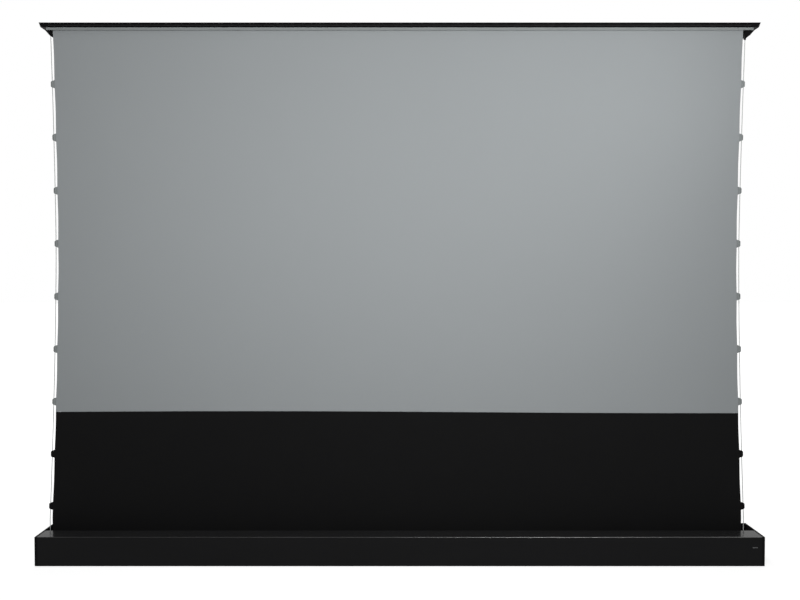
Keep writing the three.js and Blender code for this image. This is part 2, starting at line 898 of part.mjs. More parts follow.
// A rivet on an arm: its shank, its shoulder between the layers, and its head past what it carries
function rivet(x, root, shoulder, neck, headEnd) {
  const low = Math.min(root, headEnd);
  const high = Math.max(root, headEnd);
  const parts = [
    alongY(disc(x, 0, rivetRadius, pinSides), low, high),
    alongY(disc(x, 0, rivetHeadRadius, pinSides), Math.min(neck, headEnd), Math.max(neck, headEnd)),
  ];
  if (shoulder !== root) {
    const shoulderLow = Math.min(root, shoulder);
    const shoulderHigh = Math.max(root, shoulder);
    parts.push(alongY(disc(x, 0, rivetHeadRadius, pinSides), shoulderLow, shoulderHigh));
  }
  return parts;
}

function rearRivet(x) {
  const neck = layerBRear + runningGap;
  const root = layerAFront + armThickness / 2;
  return rivet(x, root, layerBFront - runningGap, neck, neck + rivetHeadHeight);
}

function frontRivet(x) {
  const neck = layerAFront - runningGap;
  const root = layerBFront + armThickness / 2;
  return rivet(x, root, layerARear + runningGap, neck, neck - rivetHeadHeight);
}

function bracketRivet(x) {
  const neck = layerBRear + runningGap + earThickness + runningGap;
  const root = layerBFront + armThickness / 2;
  return rivet(x, root, root, neck, neck + rivetHeadHeight);
}

function lowerDriveArm() {
  const blank = alongY(armOutline([[0, pivotPinRadius]]), layerAFront, layerARear);
  return join([blank, ...rearRivet(armLength / 2), ...rearRivet(armLength)]);
}

function lowerCrossArm() {
  const holes = [[0, rivetRadius], [armLength / 2, rivetRadius]];
  return join([alongY(armOutline(holes), layerBFront, layerBRear), ...frontRivet(armLength)]);
}

function upperDriveArm() {
  const blank = alongY(armOutline([[0, rivetRadius]]), layerBFront, layerBRear);
  return join([blank, ...frontRivet(armLength / 2), ...bracketRivet(armLength)]);
}

function upperCrossArm() {
  const holes = [0, armLength / 2, armLength].map((x) => [x, rivetRadius]);
  return alongY(armOutline(holes), layerAFront, layerARear);
}

// A rail's channel, open to the front, about the height of its pivots
function channelPoints() {
  const inner = railHalfHeight - railWall;
  return [
    [railFront, -railHalfHeight],
    [railFront, -inner],
    [railBack - railWall, -inner],
    [railBack - railWall, inner],
    [railFront, inner],
    [railFront, railHalfHeight],
  ];
}

function baseRail() {
  const foot = floorSeat - basePivotZ;
  const profile = polygon([
    ...channelPoints(),
    [railBack, railHalfHeight],
    [railBack, foot],
    [railBack - railFoot, foot],
    [railBack - railFoot, foot + shellWall],
    [railBack - shellWall, foot + shellWall],
    [railBack - shellWall, -railHalfHeight],
  ]);
  return alongX(profile, -railHalfLength, railHalfLength);
}

function topRail() {
  const stubTop = topPivotDrop - runningGap - beamWall - runningGap;
  const profile = polygon([
    ...channelPoints(),
    [railBack - railStub - railWall, railHalfHeight],
    [railBack - railStub - railWall, stubTop],
    [railBack, stubTop],
    [railBack, -railHalfHeight],
  ]);
  return alongX(profile, -railHalfLength, railHalfLength);
}

// A sliding shoe and its pin, whose head lies in front of the arm that it carries
function slidingShoe(armFront) {
  const half = railHalfHeight - railWall - runningGap;
  const back = railBack - railWall - runningGap;
  const neck = armFront - runningGap;
  const block = rectangle(-shoeLength / 2, -half, shoeLength / 2, half);
  return join([
    alongY(block, railFront, back),
    alongY(disc(0, 0, rivetRadius, pinSides), neck - rivetHeadHeight, back - railWall),
    alongY(disc(0, 0, rivetHeadRadius, pinSides), neck - rivetHeadHeight, neck),
  ]);
}

function topBracket(sign) {
  const front = layerBRear + runningGap;
  const top = -runningGap - beamWall - runningGap;
  const x = sign * pivotX;
  const profile = polygon([
    [front, -earDrop],
    [front + earThickness, -earDrop],
    [front + earThickness, top - earFlangeThickness],
    [front + earFlange, top - earFlangeThickness],
    [front + earFlange, top],
    [front, top],
  ]);
  const hole = disc(x, -topPivotDrop, rivetRadius + runningGap, pinSides);
  const ear = alongX(profile, x - earHalfWidth, x + earHalfWidth);
  return cut(ear, [alongY(hole, front - overrun, front + earThickness + overrun)]);
}

function pivotBracket(sign) {
  const x = sign * pivotX;
  const profile = polygon([
    [baseEarFront, floorSeat],
    [baseEarBack + baseFootRear, floorSeat],
    [baseEarBack + baseFootRear, floorSeat + baseFootThickness],
    [baseEarBack, floorSeat + baseFootThickness],
    [baseEarBack, basePivotZ + baseEarRise],
    [baseEarFront, basePivotZ + baseEarRise],
  ]);
  const hole = disc(x, basePivotZ, pivotPinRadius + runningGap, pinSides);
  const bracket = alongX(profile, x - baseEarHalfWidth, x + baseEarHalfWidth);
  return cut(bracket, [alongY(hole, baseEarFront - overrun, baseEarBack + overrun)]);
}

function pivotPin(sign) {
  const centre = [sign * pivotX, basePivotZ];
  const neck = layerAFront - runningGap;
  const nut = baseEarBack + runningGap;
  const hexagon = armEndSteps - 2;
  return join([
    alongY(disc(...centre, pivotPinRadius, pinSides), neck - rivetHeadHeight, nut + pivotNutHeight),
    alongY(disc(...centre, pivotHeadRadius, pinSides), neck - rivetHeadHeight, neck),
    alongY(disc(...centre, pivotHeadRadius, hexagon), nut, nut + pivotNutHeight),
  ]);
}

// A torsion spring round a base pivot, whose long leg lies along the back of the lower drive arm
function springPath(sign) {
  const radius = armWidth / 2 - springWireRadius;
  const y = springFront + springWireRadius;
  const points = [new THREE.Vector3(springLeg, y, sign * radius)];
  points.push(new THREE.Vector3(springLeg / 2, y, sign * radius));
  const steps = springTurns * springStepsPerTurn;
  for (let i = 0; i <= steps; i += 1) {
    const turn = i / springStepsPerTurn;
    const angle = sign * (Math.PI / 2 + 2 * Math.PI * turn);
    const x = radius * Math.cos(angle);
    points.push(new THREE.Vector3(x, y + springPitch * turn, radius * Math.sin(angle)));
  }
  return points;
}

// The least clear distance between stretches of the wire more than half a turn apart
function leastSelfGap(points) {
  const farSteps = springStepsPerTurn / 2;
  let least = Infinity;
  for (let i = 0; i < points.length; i += 1) {
    for (let j = i + farSteps; j < points.length; j += 1) {
      least = Math.min(least, points[i].distanceTo(points[j]) - 2 * springWireRadius);
    }
  }
  return least;
}

// A closed tube through the points, one ring of corners at each
function wire(points, radius, count) {
  const corners = [];
  const faces = [];
  points.forEach((point, i) => {
    const before = points[Math.max(i - 1, 0)];
    const after = points[Math.min(i + 1, points.length - 1)];
    const ahead = after.clone().sub(before).normalize();
    const across = axisY.clone().cross(ahead).normalize();
    const up = ahead.clone().cross(across);
    for (let k = 0; k < count; k += 1) {
      const angle = (2 * Math.PI * k) / count;
      const corner = point.clone();
      corner.addScaledVector(across, radius * Math.cos(angle));
      corner.addScaledVector(up, radius * Math.sin(angle));
      corners.push(corner.x, corner.y, corner.z);
    }
  });
  const rings = points.length;
  for (let i = 0; i + 1 < rings; i += 1) {
    for (let k = 0; k < count; k += 1) {
      const next = (k + 1) % count;
      const a = i * count + k;
      const b = i * count + next;
      faces.push(a, b, b + count, a, b + count, a + count);
    }
  }
  const last = (rings - 1) * count;
  for (let k = 1; k + 1 < count; k += 1) {
    faces.push(0, k + 1, k);
    faces.push(last, last + k, last + k + 1);
  }
  const geometry = new THREE.BufferGeometry();
  geometry.setAttribute("position", new THREE.Float32BufferAttribute(corners, 3));
  geometry.setIndex(faces);
  geometry.computeVertexNormals();
  return geometry;
}

// Assembly

// An arm's angle from +X: the right-hand lift mirrors the left-hand one
function leaning(sign, angle) {
  return sign < 0 ? angle : Math.PI - angle;
}

function placed(x, z, angle, pieces) {
  const group = new THREE.Group();
  group.position.set(x, 0, z);
  group.rotation.y = -angle;
  group.add(...pieces);
  return group;
}

function buildHousing() {
  const housing = new THREE.Group();
  housing.add(piece("base_tray", baseTray(), housingBlack));
  housing.add(piece("front_cover", frontCover(), housingBlack));
  housing.add(piece("slot_seal", slotSeal(), rubberBlack));
  housing.add(piece("ir_window", infraredWindow(), smokedGloss));
  housing.add(piece("control_box", controlBox(), blackPlastic));
  housing.add(piece("power_inlet", powerInlet(), blackPlastic));
  housing.add(piece("control_socket", controlSocket(), blackPlastic));
  housing.add(piece("manual_button", manualButton(), blackPlastic));
  housing.add(piece("idle_bracket", bearingBracket(-1, idlePinRadius), bareSteel));
  housing.add(piece("motor_bracket", bearingBracket(1, motorStubRadius), bareSteel));
  const rocker = piece("power_rocker", powerRocker(), blackPlastic);
  rocker.position.set(rockerX, halfDepth - rockerSetback, controlHeight);
  rocker.rotation.x = rockerTilt;
  housing.add(rocker);
  const rail = piece("base_rail", baseRail(), bareSteel);
  rail.position.z = basePivotZ;
  housing.add(rail);
  for (const { name, sign } of sides) {
    housing.add(piece(name + "_end_cap", endCap(sign), capBlack));
    housing.add(piece(name + "_front_foot", footPad(sign, -1), rubberBlack));
    housing.add(piece(name + "_rear_foot", footPad(sign, 1), rubberBlack));
    housing.add(piece(name + "_pivot_bracket", pivotBracket(sign), bareSteel));
    housing.add(piece(name + "_pivot_pin", pivotPin(sign), bareSteel));
  }
  return housing;
}

function buildRoller() {
  const roller = new THREE.Group();
  roller.position.set(0, rollerY, rollerHeight);
  roller.add(piece("roller_tube", rollerTube(), rollerAlloy));
  roller.add(piece("fabric_wrap", fabricWrap(), dropBlack));
  roller.add(piece("idle_plug", idlePlug(), whitePlastic));
  roller.add(piece("drive_plug", drivePlug(), whitePlastic));
  roller.add(piece("drive_wheel", driveWheel(), whitePlastic));
  roller.add(piece("tubular_motor", tubularMotor(), rollerAlloy));
  return roller;
}

function buildSheet() {
  const sheet = new THREE.Group();
  sheet.add(piece("view_fabric", sheetPanel(greyBottom, sheetTop, greySteps), screenGrey));
  sheet.add(piece("black_drop", sheetPanel(rollerHeight, greyBottom - runningGap, blackSteps), dropBlack));
  for (const { name, sign } of sides) {
    sheet.add(piece(name + "_tab_strip", tabStrip(sign), tabGrey));
    sheet.add(piece(name + "_cord", cordTube(sign, cordRadius, 0), cordGrey));
  }
  return sheet;
}

function buildTopBar() {
  const bar = new THREE.Group();
  bar.position.z = lidUnderside;
  bar.add(piece("top_lid", topLid(), housingBlack));
  bar.add(piece("top_beam", topBeam(), housingBlack));
  bar.add(piece("fabric_keder", kederRod(), whitePlastic));
  bar.add(piece("top_trim", topTrim(), tabGrey));
  const rail = piece("top_rail", topRail(), bareSteel);
  rail.position.z = -topPivotDrop;
  bar.add(rail);
  for (const { name, sign } of sides) {
    bar.add(piece(name + "_bar_cap", barCap(sign), capBlack));
    bar.add(piece(name + "_cord_bracket", cordBracket(sign), capBlack));
    bar.add(piece(name + "_top_bracket", topBracket(sign), bareSteel));
  }
  return bar;
}

function buildLift(name, sign) {
  const lift = new THREE.Group();
  const outer = sign * pivotX;
  const inner = sign * shoeX;
  const middleZ = basePivotZ + stageRise;
  const rising = leaning(sign, openAngle);
  const crossing = leaning(sign, Math.PI - openAngle);
  const spring = springPath(sign);
  console.log(name + " lift spring, least gap to itself: " + leastSelfGap(spring).toFixed(2) + " mm");
  lift.add(
    placed(outer, basePivotZ, rising, [
      piece(name + "_lower_drive_arm", lowerDriveArm(), armBlack),
      piece(name + "_lift_spring", wire(spring, springWireRadius, springSides), bareSteel),
    ]),
    placed(inner, basePivotZ, crossing, [piece(name + "_lower_cross_arm", lowerCrossArm(), armBlack)]),
    placed(inner, middleZ, crossing, [piece(name + "_upper_drive_arm", upperDriveArm(), armBlack)]),
    placed(outer, middleZ, rising, [piece(name + "_upper_cross_arm", upperCrossArm(), armBlack)]),
    placed(inner, basePivotZ, 0, [piece(name + "_base_shoe", slidingShoe(layerBFront), whitePlastic)]),
    placed(inner, topPivotZ, 0, [piece(name + "_top_shoe", slidingShoe(layerAFront), whitePlastic)]),
  );
  return lift;
}

const screen = new THREE.Group();
screen.add(buildHousing(), buildRoller(), buildSheet(), buildTopBar());
for (const { name, sign } of sides) screen.add(buildLift(name, sign));

export default screen;
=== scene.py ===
"""A floor-rising projection screen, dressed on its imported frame.

Metres throughout; sizes that come from a drawing are written in millimetres times MM.
"""
import json
import math
import random

import bmesh
import bpy
from mathutils import Matrix, Vector

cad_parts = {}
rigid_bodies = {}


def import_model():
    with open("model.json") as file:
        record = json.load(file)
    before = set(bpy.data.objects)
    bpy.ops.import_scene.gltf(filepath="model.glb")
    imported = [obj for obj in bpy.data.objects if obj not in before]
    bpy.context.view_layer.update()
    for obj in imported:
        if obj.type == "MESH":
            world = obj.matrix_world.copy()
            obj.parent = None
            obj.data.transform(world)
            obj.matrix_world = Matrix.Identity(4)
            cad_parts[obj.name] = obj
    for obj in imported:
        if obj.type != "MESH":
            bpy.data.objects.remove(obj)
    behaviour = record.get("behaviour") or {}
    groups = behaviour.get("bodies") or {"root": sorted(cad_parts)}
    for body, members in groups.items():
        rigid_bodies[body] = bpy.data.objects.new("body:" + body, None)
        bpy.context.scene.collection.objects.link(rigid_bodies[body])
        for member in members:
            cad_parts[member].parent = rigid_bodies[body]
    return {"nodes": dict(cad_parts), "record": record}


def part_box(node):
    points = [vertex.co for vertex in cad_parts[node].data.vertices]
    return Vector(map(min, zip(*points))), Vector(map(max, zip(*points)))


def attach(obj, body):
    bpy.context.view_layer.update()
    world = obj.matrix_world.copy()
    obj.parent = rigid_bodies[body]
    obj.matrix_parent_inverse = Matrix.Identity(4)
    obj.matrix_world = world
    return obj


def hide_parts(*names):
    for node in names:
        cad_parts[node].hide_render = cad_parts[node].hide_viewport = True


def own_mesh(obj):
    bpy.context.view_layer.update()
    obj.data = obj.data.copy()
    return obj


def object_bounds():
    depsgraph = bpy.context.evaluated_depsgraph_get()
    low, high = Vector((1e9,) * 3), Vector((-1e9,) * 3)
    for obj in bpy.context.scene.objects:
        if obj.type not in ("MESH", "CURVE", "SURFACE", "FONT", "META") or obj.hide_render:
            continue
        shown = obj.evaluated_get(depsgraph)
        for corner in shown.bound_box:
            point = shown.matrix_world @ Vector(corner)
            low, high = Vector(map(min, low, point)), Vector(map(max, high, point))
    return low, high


for leftover in list(bpy.data.objects):
    bpy.data.objects.remove(leftover)

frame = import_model()
nodes = frame["nodes"]
cad_box = [list(corner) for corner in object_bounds()]
scene = bpy.context.scene

MM = 0.001
SIDES = {"left": -1, "right": 1}
SLOT_OF = {part["node"]: part["material_slot"] for part in frame["record"]["subparts"]}

# Camera
CAMERA_PLACE = (0.0011, -3.5222, 1.1109)
CAMERA_PITCH = 88.324
CAMERA_LENS = 40.99

# Light; each lamp has its name, place, aim, size and watts
LAMPS = [
    ("main", (0, -2.366, 1.62), (0.153, 0, 1.8), (2.4, 0.7), 45.6),
    ("near", (1.253, -0.995, 1.8), (-0.915, 0, 2.6), (0.7, 0.4), 4.8),
    ("low", (0.9, -1.6, 0.6), (0.2, 0, 0.308), (0.9, 0.2), 1.6),
    ("rear", (-0.8, 3.4, 2.8), (0, 0, 1.0), (2.4, 1.6), 70),
]
ROOM_LEVEL = 0.18
FRONT_GLOSS = 0.1
GLOSS_TURN = (-0.35, 0.1)

# Floor; its own light rises to white between the near and the far distance
FLOOR_SIZE = 60.0
FLOOR_TONE = 0.45
FLOOR_ROUGH = 0.9
FLOOR_LEVEL = 0.1
FLOOR_LIFT = 0.84
FLOOR_NEAR = 1.6
FLOOR_FAR = 3.4

# Sheet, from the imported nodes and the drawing
SHEET_LOW, SHEET_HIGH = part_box("view_fabric")
DROP_LOW, DROP_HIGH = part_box("black_drop")
SHEET_FRONT = SHEET_LOW.y
SHEET_BACK = SHEET_HIGH.y
SHEET_BOTTOM = DROP_LOW.z
SHEET_TOP = SHEET_HIGH.z
GREY_BOTTOM = SHEET_LOW.z
HOUSING_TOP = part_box("base_tray")[1].z
LID_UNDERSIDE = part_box("top_lid")[0].z
GROOVE_LOW = 8.25 * MM
WAIST_HALF_WIDTH = 1318 * MM
TOP_FLARE = 14.5 * MM
BOTTOM_FLARE = 32.5 * MM
FLARE_BOTTOM = HOUSING_TOP + 37.4 * MM
WAIST_Z = FLARE_BOTTOM + 0.5664 * (SHEET_TOP - FLARE_BOTTOM)
FLARE_POWER = 1.5
TOP_SHIFT = -6.7 * MM
BOTTOM_SHIFT = -11.6 * MM
SCALLOP = 1.2 * MM
JOIN_SWAY = 3.9 * MM
JOIN_CREST_SHARE = 0.28
JOIN_SPAN_SHARE = 0.66
JOIN_GAP = GREY_BOTTOM - DROP_HIGH.z
SHEET_COLUMNS = 120
GREY_ROWS = 94
DROP_ROWS = 34
TOUCH = 0.01 * MM

# Tape over the join
SEAM_HALF = 14 * MM
SEAM_THICK = 0.22 * MM
SEAM_INSET = 20 * MM
SEAM_PRESS = 0.08 * MM
SEAM_COLUMNS = 60
SEAM_ROWS = 8
SEAM_PRESSED_ROWS = (2, 6)

# Tabs and their tape
TAB_COUNT = 9
LOWEST_TAB = HOUSING_TOP + 88.4 * MM
HIGHEST_TAB = LID_UNDERSIDE - 212.5 * MM
TAB_PITCH = (HIGHEST_TAB - LOWEST_TAB) / (TAB_COUNT - 1)
TAB_ROOT = -1.0 * MM
TAB_REACH = 15 * MM
TAB_ROOT_HALF = 16 * MM
TAB_TIP_HALF = 10.5 * MM
TAB_CORNER = 4 * MM
TAB_THINNEST = 0.3 * MM
TAB_COLUMNS = 38
TAB_ROWS = 14
CREASE_DEPTH = 0.12
CREASE_WIDTH = 0.12
TAPE_WIDTH = 12 * MM
TAPE_HALF = 0.5 * MM
TAPE_TOP = LID_UNDERSIDE - 0.3 * MM
TAPE_DENT = 0.1 * MM
TAPE_DENT_WIDTH = 0.12
TAPE_COLUMNS = 8
TAPE_ROWS = 200

# Sleeve of a tab round its cord
SLEEVE_HALF = 2.45 * MM
SLEEVE_HUG = 0.9 * MM
SLEEVE_FALL = 3.4 * MM
SLEEVE_WELD = 5 * MM
SLEEVE_WELD_WIDTH = 0.8 * MM
SLEEVE_WELD_DEPTH = 0.14 * MM

# Cords
CORD_OFFSET = 9 * MM
CORD_RADIUS = 1.5 * MM
CORD_Y = SHEET_BACK + 0.8 * MM
CORD_STEPS = 1500
CORD_SIDES = 12
CORD_STRANDS = 3
CORD_LAY = 7 * MM
BRAID_DEPTH = 0.05

# Hem under the lid
HEM_FOLD = 0.35 * MM
HEM_ROUND = 0.05
HEM_STITCH = 2.6 * MM
HEM_STITCH_WIDTH = 0.35 * MM
HEM_STITCH_DEPTH = 0.1 * MM
HEM_STEP = 0.12 * MM
HEM_WAVE = 0.05 * MM
HEM_WAVE_LENGTH = 160 * MM
HEM_COLUMNS = 240
HEM_ROWS = 40

# Roller and the cloth on it
ROLLER_Y = -4 * MM
ROLLER_Z = 44 * MM
WRAP_INNER = 24.35 * MM
WRAP_CLOTH = 0.45 * MM
WRAP_PITCH = 0.55 * MM
WRAP_TURNS = 1.6
WRAP_ROWS = int(64 * WRAP_TURNS)
WRAP_COLUMNS = 24
WRAP_RAGGED = 0.9

# Lift
OPEN_ANGLE = math.radians(71.2)
ARM_LENGTH = 1059.79 * MM
PIVOT_X = 1180 * MM
BASE_PIVOT_Z = 35.3 * MM
ARM_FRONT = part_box("left_upper_cross_arm")[0].y
ARM_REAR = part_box("left_lower_cross_arm")[1].y
RIVET_FRONT = 51.5 * MM
RIVET_REAR = 70.1 * MM
RIVET_BRACKET = 74.4 * MM
RIVET_SHOE = 61.5 * MM
SPRING_FRONT = 60.1 * MM
SPRING_WIRE = 1.6 * MM
SPRING_DRAWN = 0.98
SPRING_SIDES = 10
SPRING_PITCH = 3.8 * MM
SPRING_TURNS = 3.75
SPRING_STEPS = int(28 * SPRING_TURNS)
SPRING_LEG = 60 * MM
LEG_STEPS = 6
SPRING_RADIUS = 8.4 * MM

# Screws, in millimetres
BRACKET_SCREW_STEPS = (-7, 7)
BRACKET_SCREW_Y = 80.5
BRACKET_DEPTH = 5
FOOT_SCREW_STEPS = (-10, 10)
FOOT_SCREW_Y = 89
FOOT_TOP = 9.8
CAP_FACE_X = 1385
CAP_SCREWS = ((-80, 20), (-80, 92), (84, 20), (84, 92))
RAIL_SCREW_X = range(-800, 801, 200)
RAIL_SCREW_Y = 78
RAIL_FOOT_TOP = 8.3

# Slot brush, in millimetres
TUFT_PITCH = 3.1
TUFT_INSET = 2
TUFT_ROOT = 1.5
TUFT_REACH = 3.1
TUFT_WIDTH = 2.5
TUFT_FLARE = 0.25
TUFT_HALF = 0.7
TUFT_TAPER = 0.35

# Controls on the rear wall
CONTROL_Z = 50 * MM
INLET_X = 1253 * MM
ROCKER_X = 1279 * MM
SOCKET_X = 1322 * MM
PIN_PITCH = 7 * MM
PIN_OFFSET = 2.5 * MM
PIN_HALF = (1.15 * MM, 2.15 * MM)
PIN_ENDS = (79.4 * MM, 90.4 * MM)
PIN_CHAMFER = 0.45 * MM
CONTACT_COUNT = 6
CONTACT_PITCH = 1.27 * MM
CONTACT_RADIUS = 0.28 * MM
CONTACT_SIDES = 8
CONTACT_PATH = ((86, 0.6), (88.5, 1.0), (92.5, 2.6), (94.6, 3.7))

# Marks on the rocker, in millimetres from its pivot
ROCKER_LEAN = math.radians(-6)
ROCKER_Y = 91.3
ROCKER_FACE = 4
ROCKER_CURVE = 8.8
MARK_RISE = 0.16 * MM
MARK_SINK = -0.2 * MM
BAR_MARK_WIDTH = 0.9
BAR_MARK_LOW = 3
BAR_MARK_HEIGHT = 4
RING_MARK_INNER = 1.6
RING_MARK_WIDTH = 0.8
RING_MARK_Z = -5
RING_MARK_STEPS = 32

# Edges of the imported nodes
SHARP = math.radians(35)
WELD_REACH = 0.002 * MM


# Mesh building


class Shells:
    """Closed bodies gathered into one mesh, each face with the index of its material."""

    def __init__(self):
        self.points = []
        self.faces = []
        self.slots = []

    def add(self, points, faces, slot=0):
        start = len(self.points)
        self.points.extend(points)
        for face in faces:
            self.faces.append([start + corner for corner in face])
            self.slots.append(slot(points, face) if callable(slot) else slot)

    def make(self, name, materials):
        mesh = bpy.data.meshes.new(name)
        mesh.from_pydata([tuple(point) for point in self.points], [], self.faces)
        for material in materials:
            mesh.materials.append(material)
        mesh.polygons.foreach_set("material_index", self.slots)
        mesh.polygons.foreach_set("use_smooth", [True] * len(self.faces))
        work = bmesh.new()
        work.from_mesh(mesh)
        bmesh.ops.recalc_face_normals(work, faces=work.faces)
        for edge in work.edges:
            bent = len(edge.link_faces) != 2 or edge.calc_face_angle(math.pi) > SHARP
            edge.smooth = not bent
        work.to_mesh(mesh)
        work.free()
        obj = bpy.data.objects.new(name, mesh)
        scene.collection.objects.link(obj)
        return obj


def slab(shape, columns, rows):
    """A thin closed body; shape(u, v) gives the point on its front and the one on its back."""
    fronts = []
    backs = []
    for j in range(rows + 1):
        for i in range(columns + 1):
            front, back = shape(i / columns, j / rows)
            fronts.append(front)
            backs.append(back)
    across = columns + 1
    shift = len(fronts)
    faces = []
    for j in range(rows):
        for i in range(columns):
            a = j * across + i
            face = (a, a + 1, a + across + 1, a + across)
            faces.append(face)
            faces.append(tuple(corner + shift for corner in reversed(face)))
    rim = list(range(columns))
    rim += [j * across + columns for j in range(rows)]
    rim += [rows * across + i for i in range(columns, 0, -1)]
    rim += [j * across for j in range(rows, 0, -1)]
    for a, b in zip(rim, rim[1:] + rim[:1]):
        faces.append((b, a, a + shift, b + shift))
    return fronts + backs, faces


def tube(points, radii, sides, up=Vector((0, 1, 0))):
    """A closed tube through the points; radii(index, angle) gives its radius."""
    corners = []
    faces = []
    last = len(points) - 1
    for i, point in enumerate(points):
        ahead = (points[min(i + 1, last)] - points[max(i - 1, 0)]).normalized()
        across = up.cross(ahead).normalized()
        over = ahead.cross(across)
        for k in range(sides):
            angle = 2 * math.pi * k / sides
            radius = radii(i, angle)
            corners.append(point + radius * (across * math.cos(angle) + over * math.sin(angle)))
    for i in range(last):
        for k in range(sides):
            a = i * sides + k
            b = i * sides + (k + 1) % sides
            faces.append((a, b, b + sides, a + sides))
    faces.append(tuple(range(sides - 1, -1, -1)))
    faces.append(tuple(last * sides + k for k in range(sides)))
    return corners, faces


def turned(profile, centre, axis, sides=24, hexagon=()):
    """A body turned about axis from (radius, height) pairs; the rings listed in hexagon have six flats."""
    ahead = Vector(axis).normalized()
    across = ahead.orthogonal().normalized()
    over = ahead.cross(across)
    corners = []
    faces = []
    for ring, (radius, height) in enumerate(profile):
        for k in range(sides):
            angle = 2 * math.pi * k / sides
            reach = radius
            if ring in hexagon:
                sixth = math.pi / 3
                reach = radius / math.cos(angle % sixth - sixth / 2)
            turn = across * math.cos(angle) + over * math.sin(angle)
            corners.append(Vector(centre) + ahead * height + turn * reach)
    for ring in range(len(profile) - 1):
        for k in range(sides):
            a = ring * sides + k
            b = ring * sides + (k + 1) % sides
            faces.append((a, b, b + sides, a + sides))
    faces.append(tuple(range(sides - 1, -1, -1)))
    faces.append(tuple((len(profile) - 1) * sides + k for k in range(sides)))
    return corners, faces


def block(low, high, chamfer):
    """A box whose edges are all chamfered."""
    work = bmesh.new()
    bmesh.ops.create_cube(work, size=1)
    centre = (Vector(low) + Vector(high)) / 2
    size = Vector(high) - Vector(low)
    for vertex in work.verts:
        vertex.co = Vector(a * b for a, b in zip(vertex.co, size)) + centre
    bmesh.ops.bevel(work, geom=work.edges[:], offset=chamfer, segments=2, affect="EDGES", profile=0.5)
    work.verts.index_update()
    points = [vertex.co.copy() for vertex in work.verts]
    faces = [[vertex.index for vertex in face.verts] for face in work.faces]
    work.free()
    return points, faces


def dent(distance, width):
    """A smooth dent, 1 deep at no distance from its middle."""
    return math.exp(-((distance / width) ** 2))


# Material nodes


def link(tree, output, entry):
    tree.links.new(output, entry)


def calculate(tree, operation, *entries):
    """A maths node; each entry is a number or another node's output."""
    node = tree.nodes.new("ShaderNodeMath")
    node.operation = operation
    for socket, entry in zip(node.inputs, entries):
        if isinstance(entry, (int, float)):
            socket.default_value = entry
        else:
            link(tree, entry, socket)
    return node.outputs["Value"]


def rescale(tree, value, source, target=(0, 1)):
    """Maps a value from one span to another, and holds it at the ends."""
    node = tree.nodes.new("ShaderNodeMapRange")
    for name, number in zip(("From Min", "From Max", "To Min", "To Max"), (*source, *target)):
        node.inputs[name].default_value = number
    link(tree, value, node.inputs["Value"])
    return node.outputs["Result"]


def spread(tree, noise_value, low, high):
    """Stretches a noise to run from low to high."""
    return rescale(tree, noise_value, (0.25, 0.75), (low, high))


def place_on(tree):
    """The place on the piece, in its own metres."""
    return tree.nodes.new("ShaderNodeTexCoord").outputs["Object"]


def xyz(tree, vector):
    node = tree.nodes.new("ShaderNodeSeparateXYZ")
    link(tree, vector, node.inputs["Vector"])
    return node.outputs["X"], node.outputs["Y"], node.outputs["Z"]


def noise(tree, scale):
    """A noise whose scale is one number, or one for each direction."""
    mapping = tree.nodes.new("ShaderNodeMapping")
    mapping.inputs["Scale"].default_value = scale if isinstance(scale, tuple) else (scale,) * 3
    texture = tree.nodes.new("ShaderNodeTexNoise")
    texture.inputs["Scale"].default_value = 1.0
    texture.inputs["Detail"].default_value = 3.0
    link(tree, place_on(tree), mapping.inputs["Vector"])
    link(tree, mapping.outputs["Vector"], texture.inputs["Vector"])
    return texture.outputs["Fac"]


def ramp(tree, factor, dark, light):
    node = tree.nodes.new("ShaderNodeValToRGB")
    low, high = node.color_ramp.elements
    low.position = 0.3
    high.position = 0.7
    low.color = (*dark, 1)
    high.color = (*light, 1)
    link(tree, factor, node.inputs["Fac"])
    return node.outputs["Color"]


def weave(tree, pitch):
    """Threads along X and along Z that pass over each other."""
    threads = []
    for direction in ("X", "Z"):
        wave = tree.nodes.new("ShaderNodeTexWave")
        wave.bands_direction = direction
        wave.inputs["Scale"].default_value = 0.1 * math.pi / pitch
        link(tree, place_on(tree), wave.inputs["Vector"])
        threads.append(wave.outputs["Fac"])
    return calculate(tree, "MAXIMUM", *threads)


def mix_colour(tree, amount, colour):
    """Lays another colour over the shader's, by an amount from 0 to 1."""
    entry = tree.nodes["Principled BSDF"].inputs["Base Color"]
    blend = tree.nodes.new("ShaderNodeMix")
    blend.data_type = "RGBA"
    link(tree, amount, blend.inputs[0])
    link(tree, entry.links[0].from_socket, blend.inputs[6])
    blend.inputs[7].default_value = (*colour, 1)
    link(tree, blend.outputs[2], entry)


# Finishes


def finish_of(
    name, colour, change, rough, mottle, grain, depth, metallic=0.0, level=0.5, sheen=0.0, thread=None
):
    """A finish: a colour that varies a little, a roughness that varies, and grain or weave in relief.

    Mottle and grain are the scales of a broad and a fine noise, and depth is the relief in millimetres.
    """
    material = bpy.data.materials.new(name)
    material.use_nodes = True
    tree = material.node_tree
    shader = tree.nodes["Principled BSDF"]
    shader.inputs["Metallic"].default_value = metallic
    shader.inputs["Specular IOR Level"].default_value = level
    shader.inputs["Sheen Weight"].default_value = sheen
    dark = [channel * (1 - change) for channel in colour]
    light = [min(channel * (1 + change), 1) for channel in colour]
    fine = noise(tree, grain)
    broad = noise(tree, mottle)
    mixed = calculate(tree, "MULTIPLY", calculate(tree, "ADD", fine, broad), 0.5)
    link(tree, ramp(tree, mixed, dark, light), shader.inputs["Base Color"])
    link(tree, spread(tree, broad, *rough), shader.inputs["Roughness"])
    relief = tree.nodes.new("ShaderNodeBump")
    relief.inputs["Strength"].default_value = 0.5
    relief.inputs["Distance"].default_value = depth * MM
    link(tree, weave(tree, thread) if thread else fine, relief.inputs["Height"])
    link(tree, relief.outputs["Normal"], shader.inputs["Normal"])
    return material


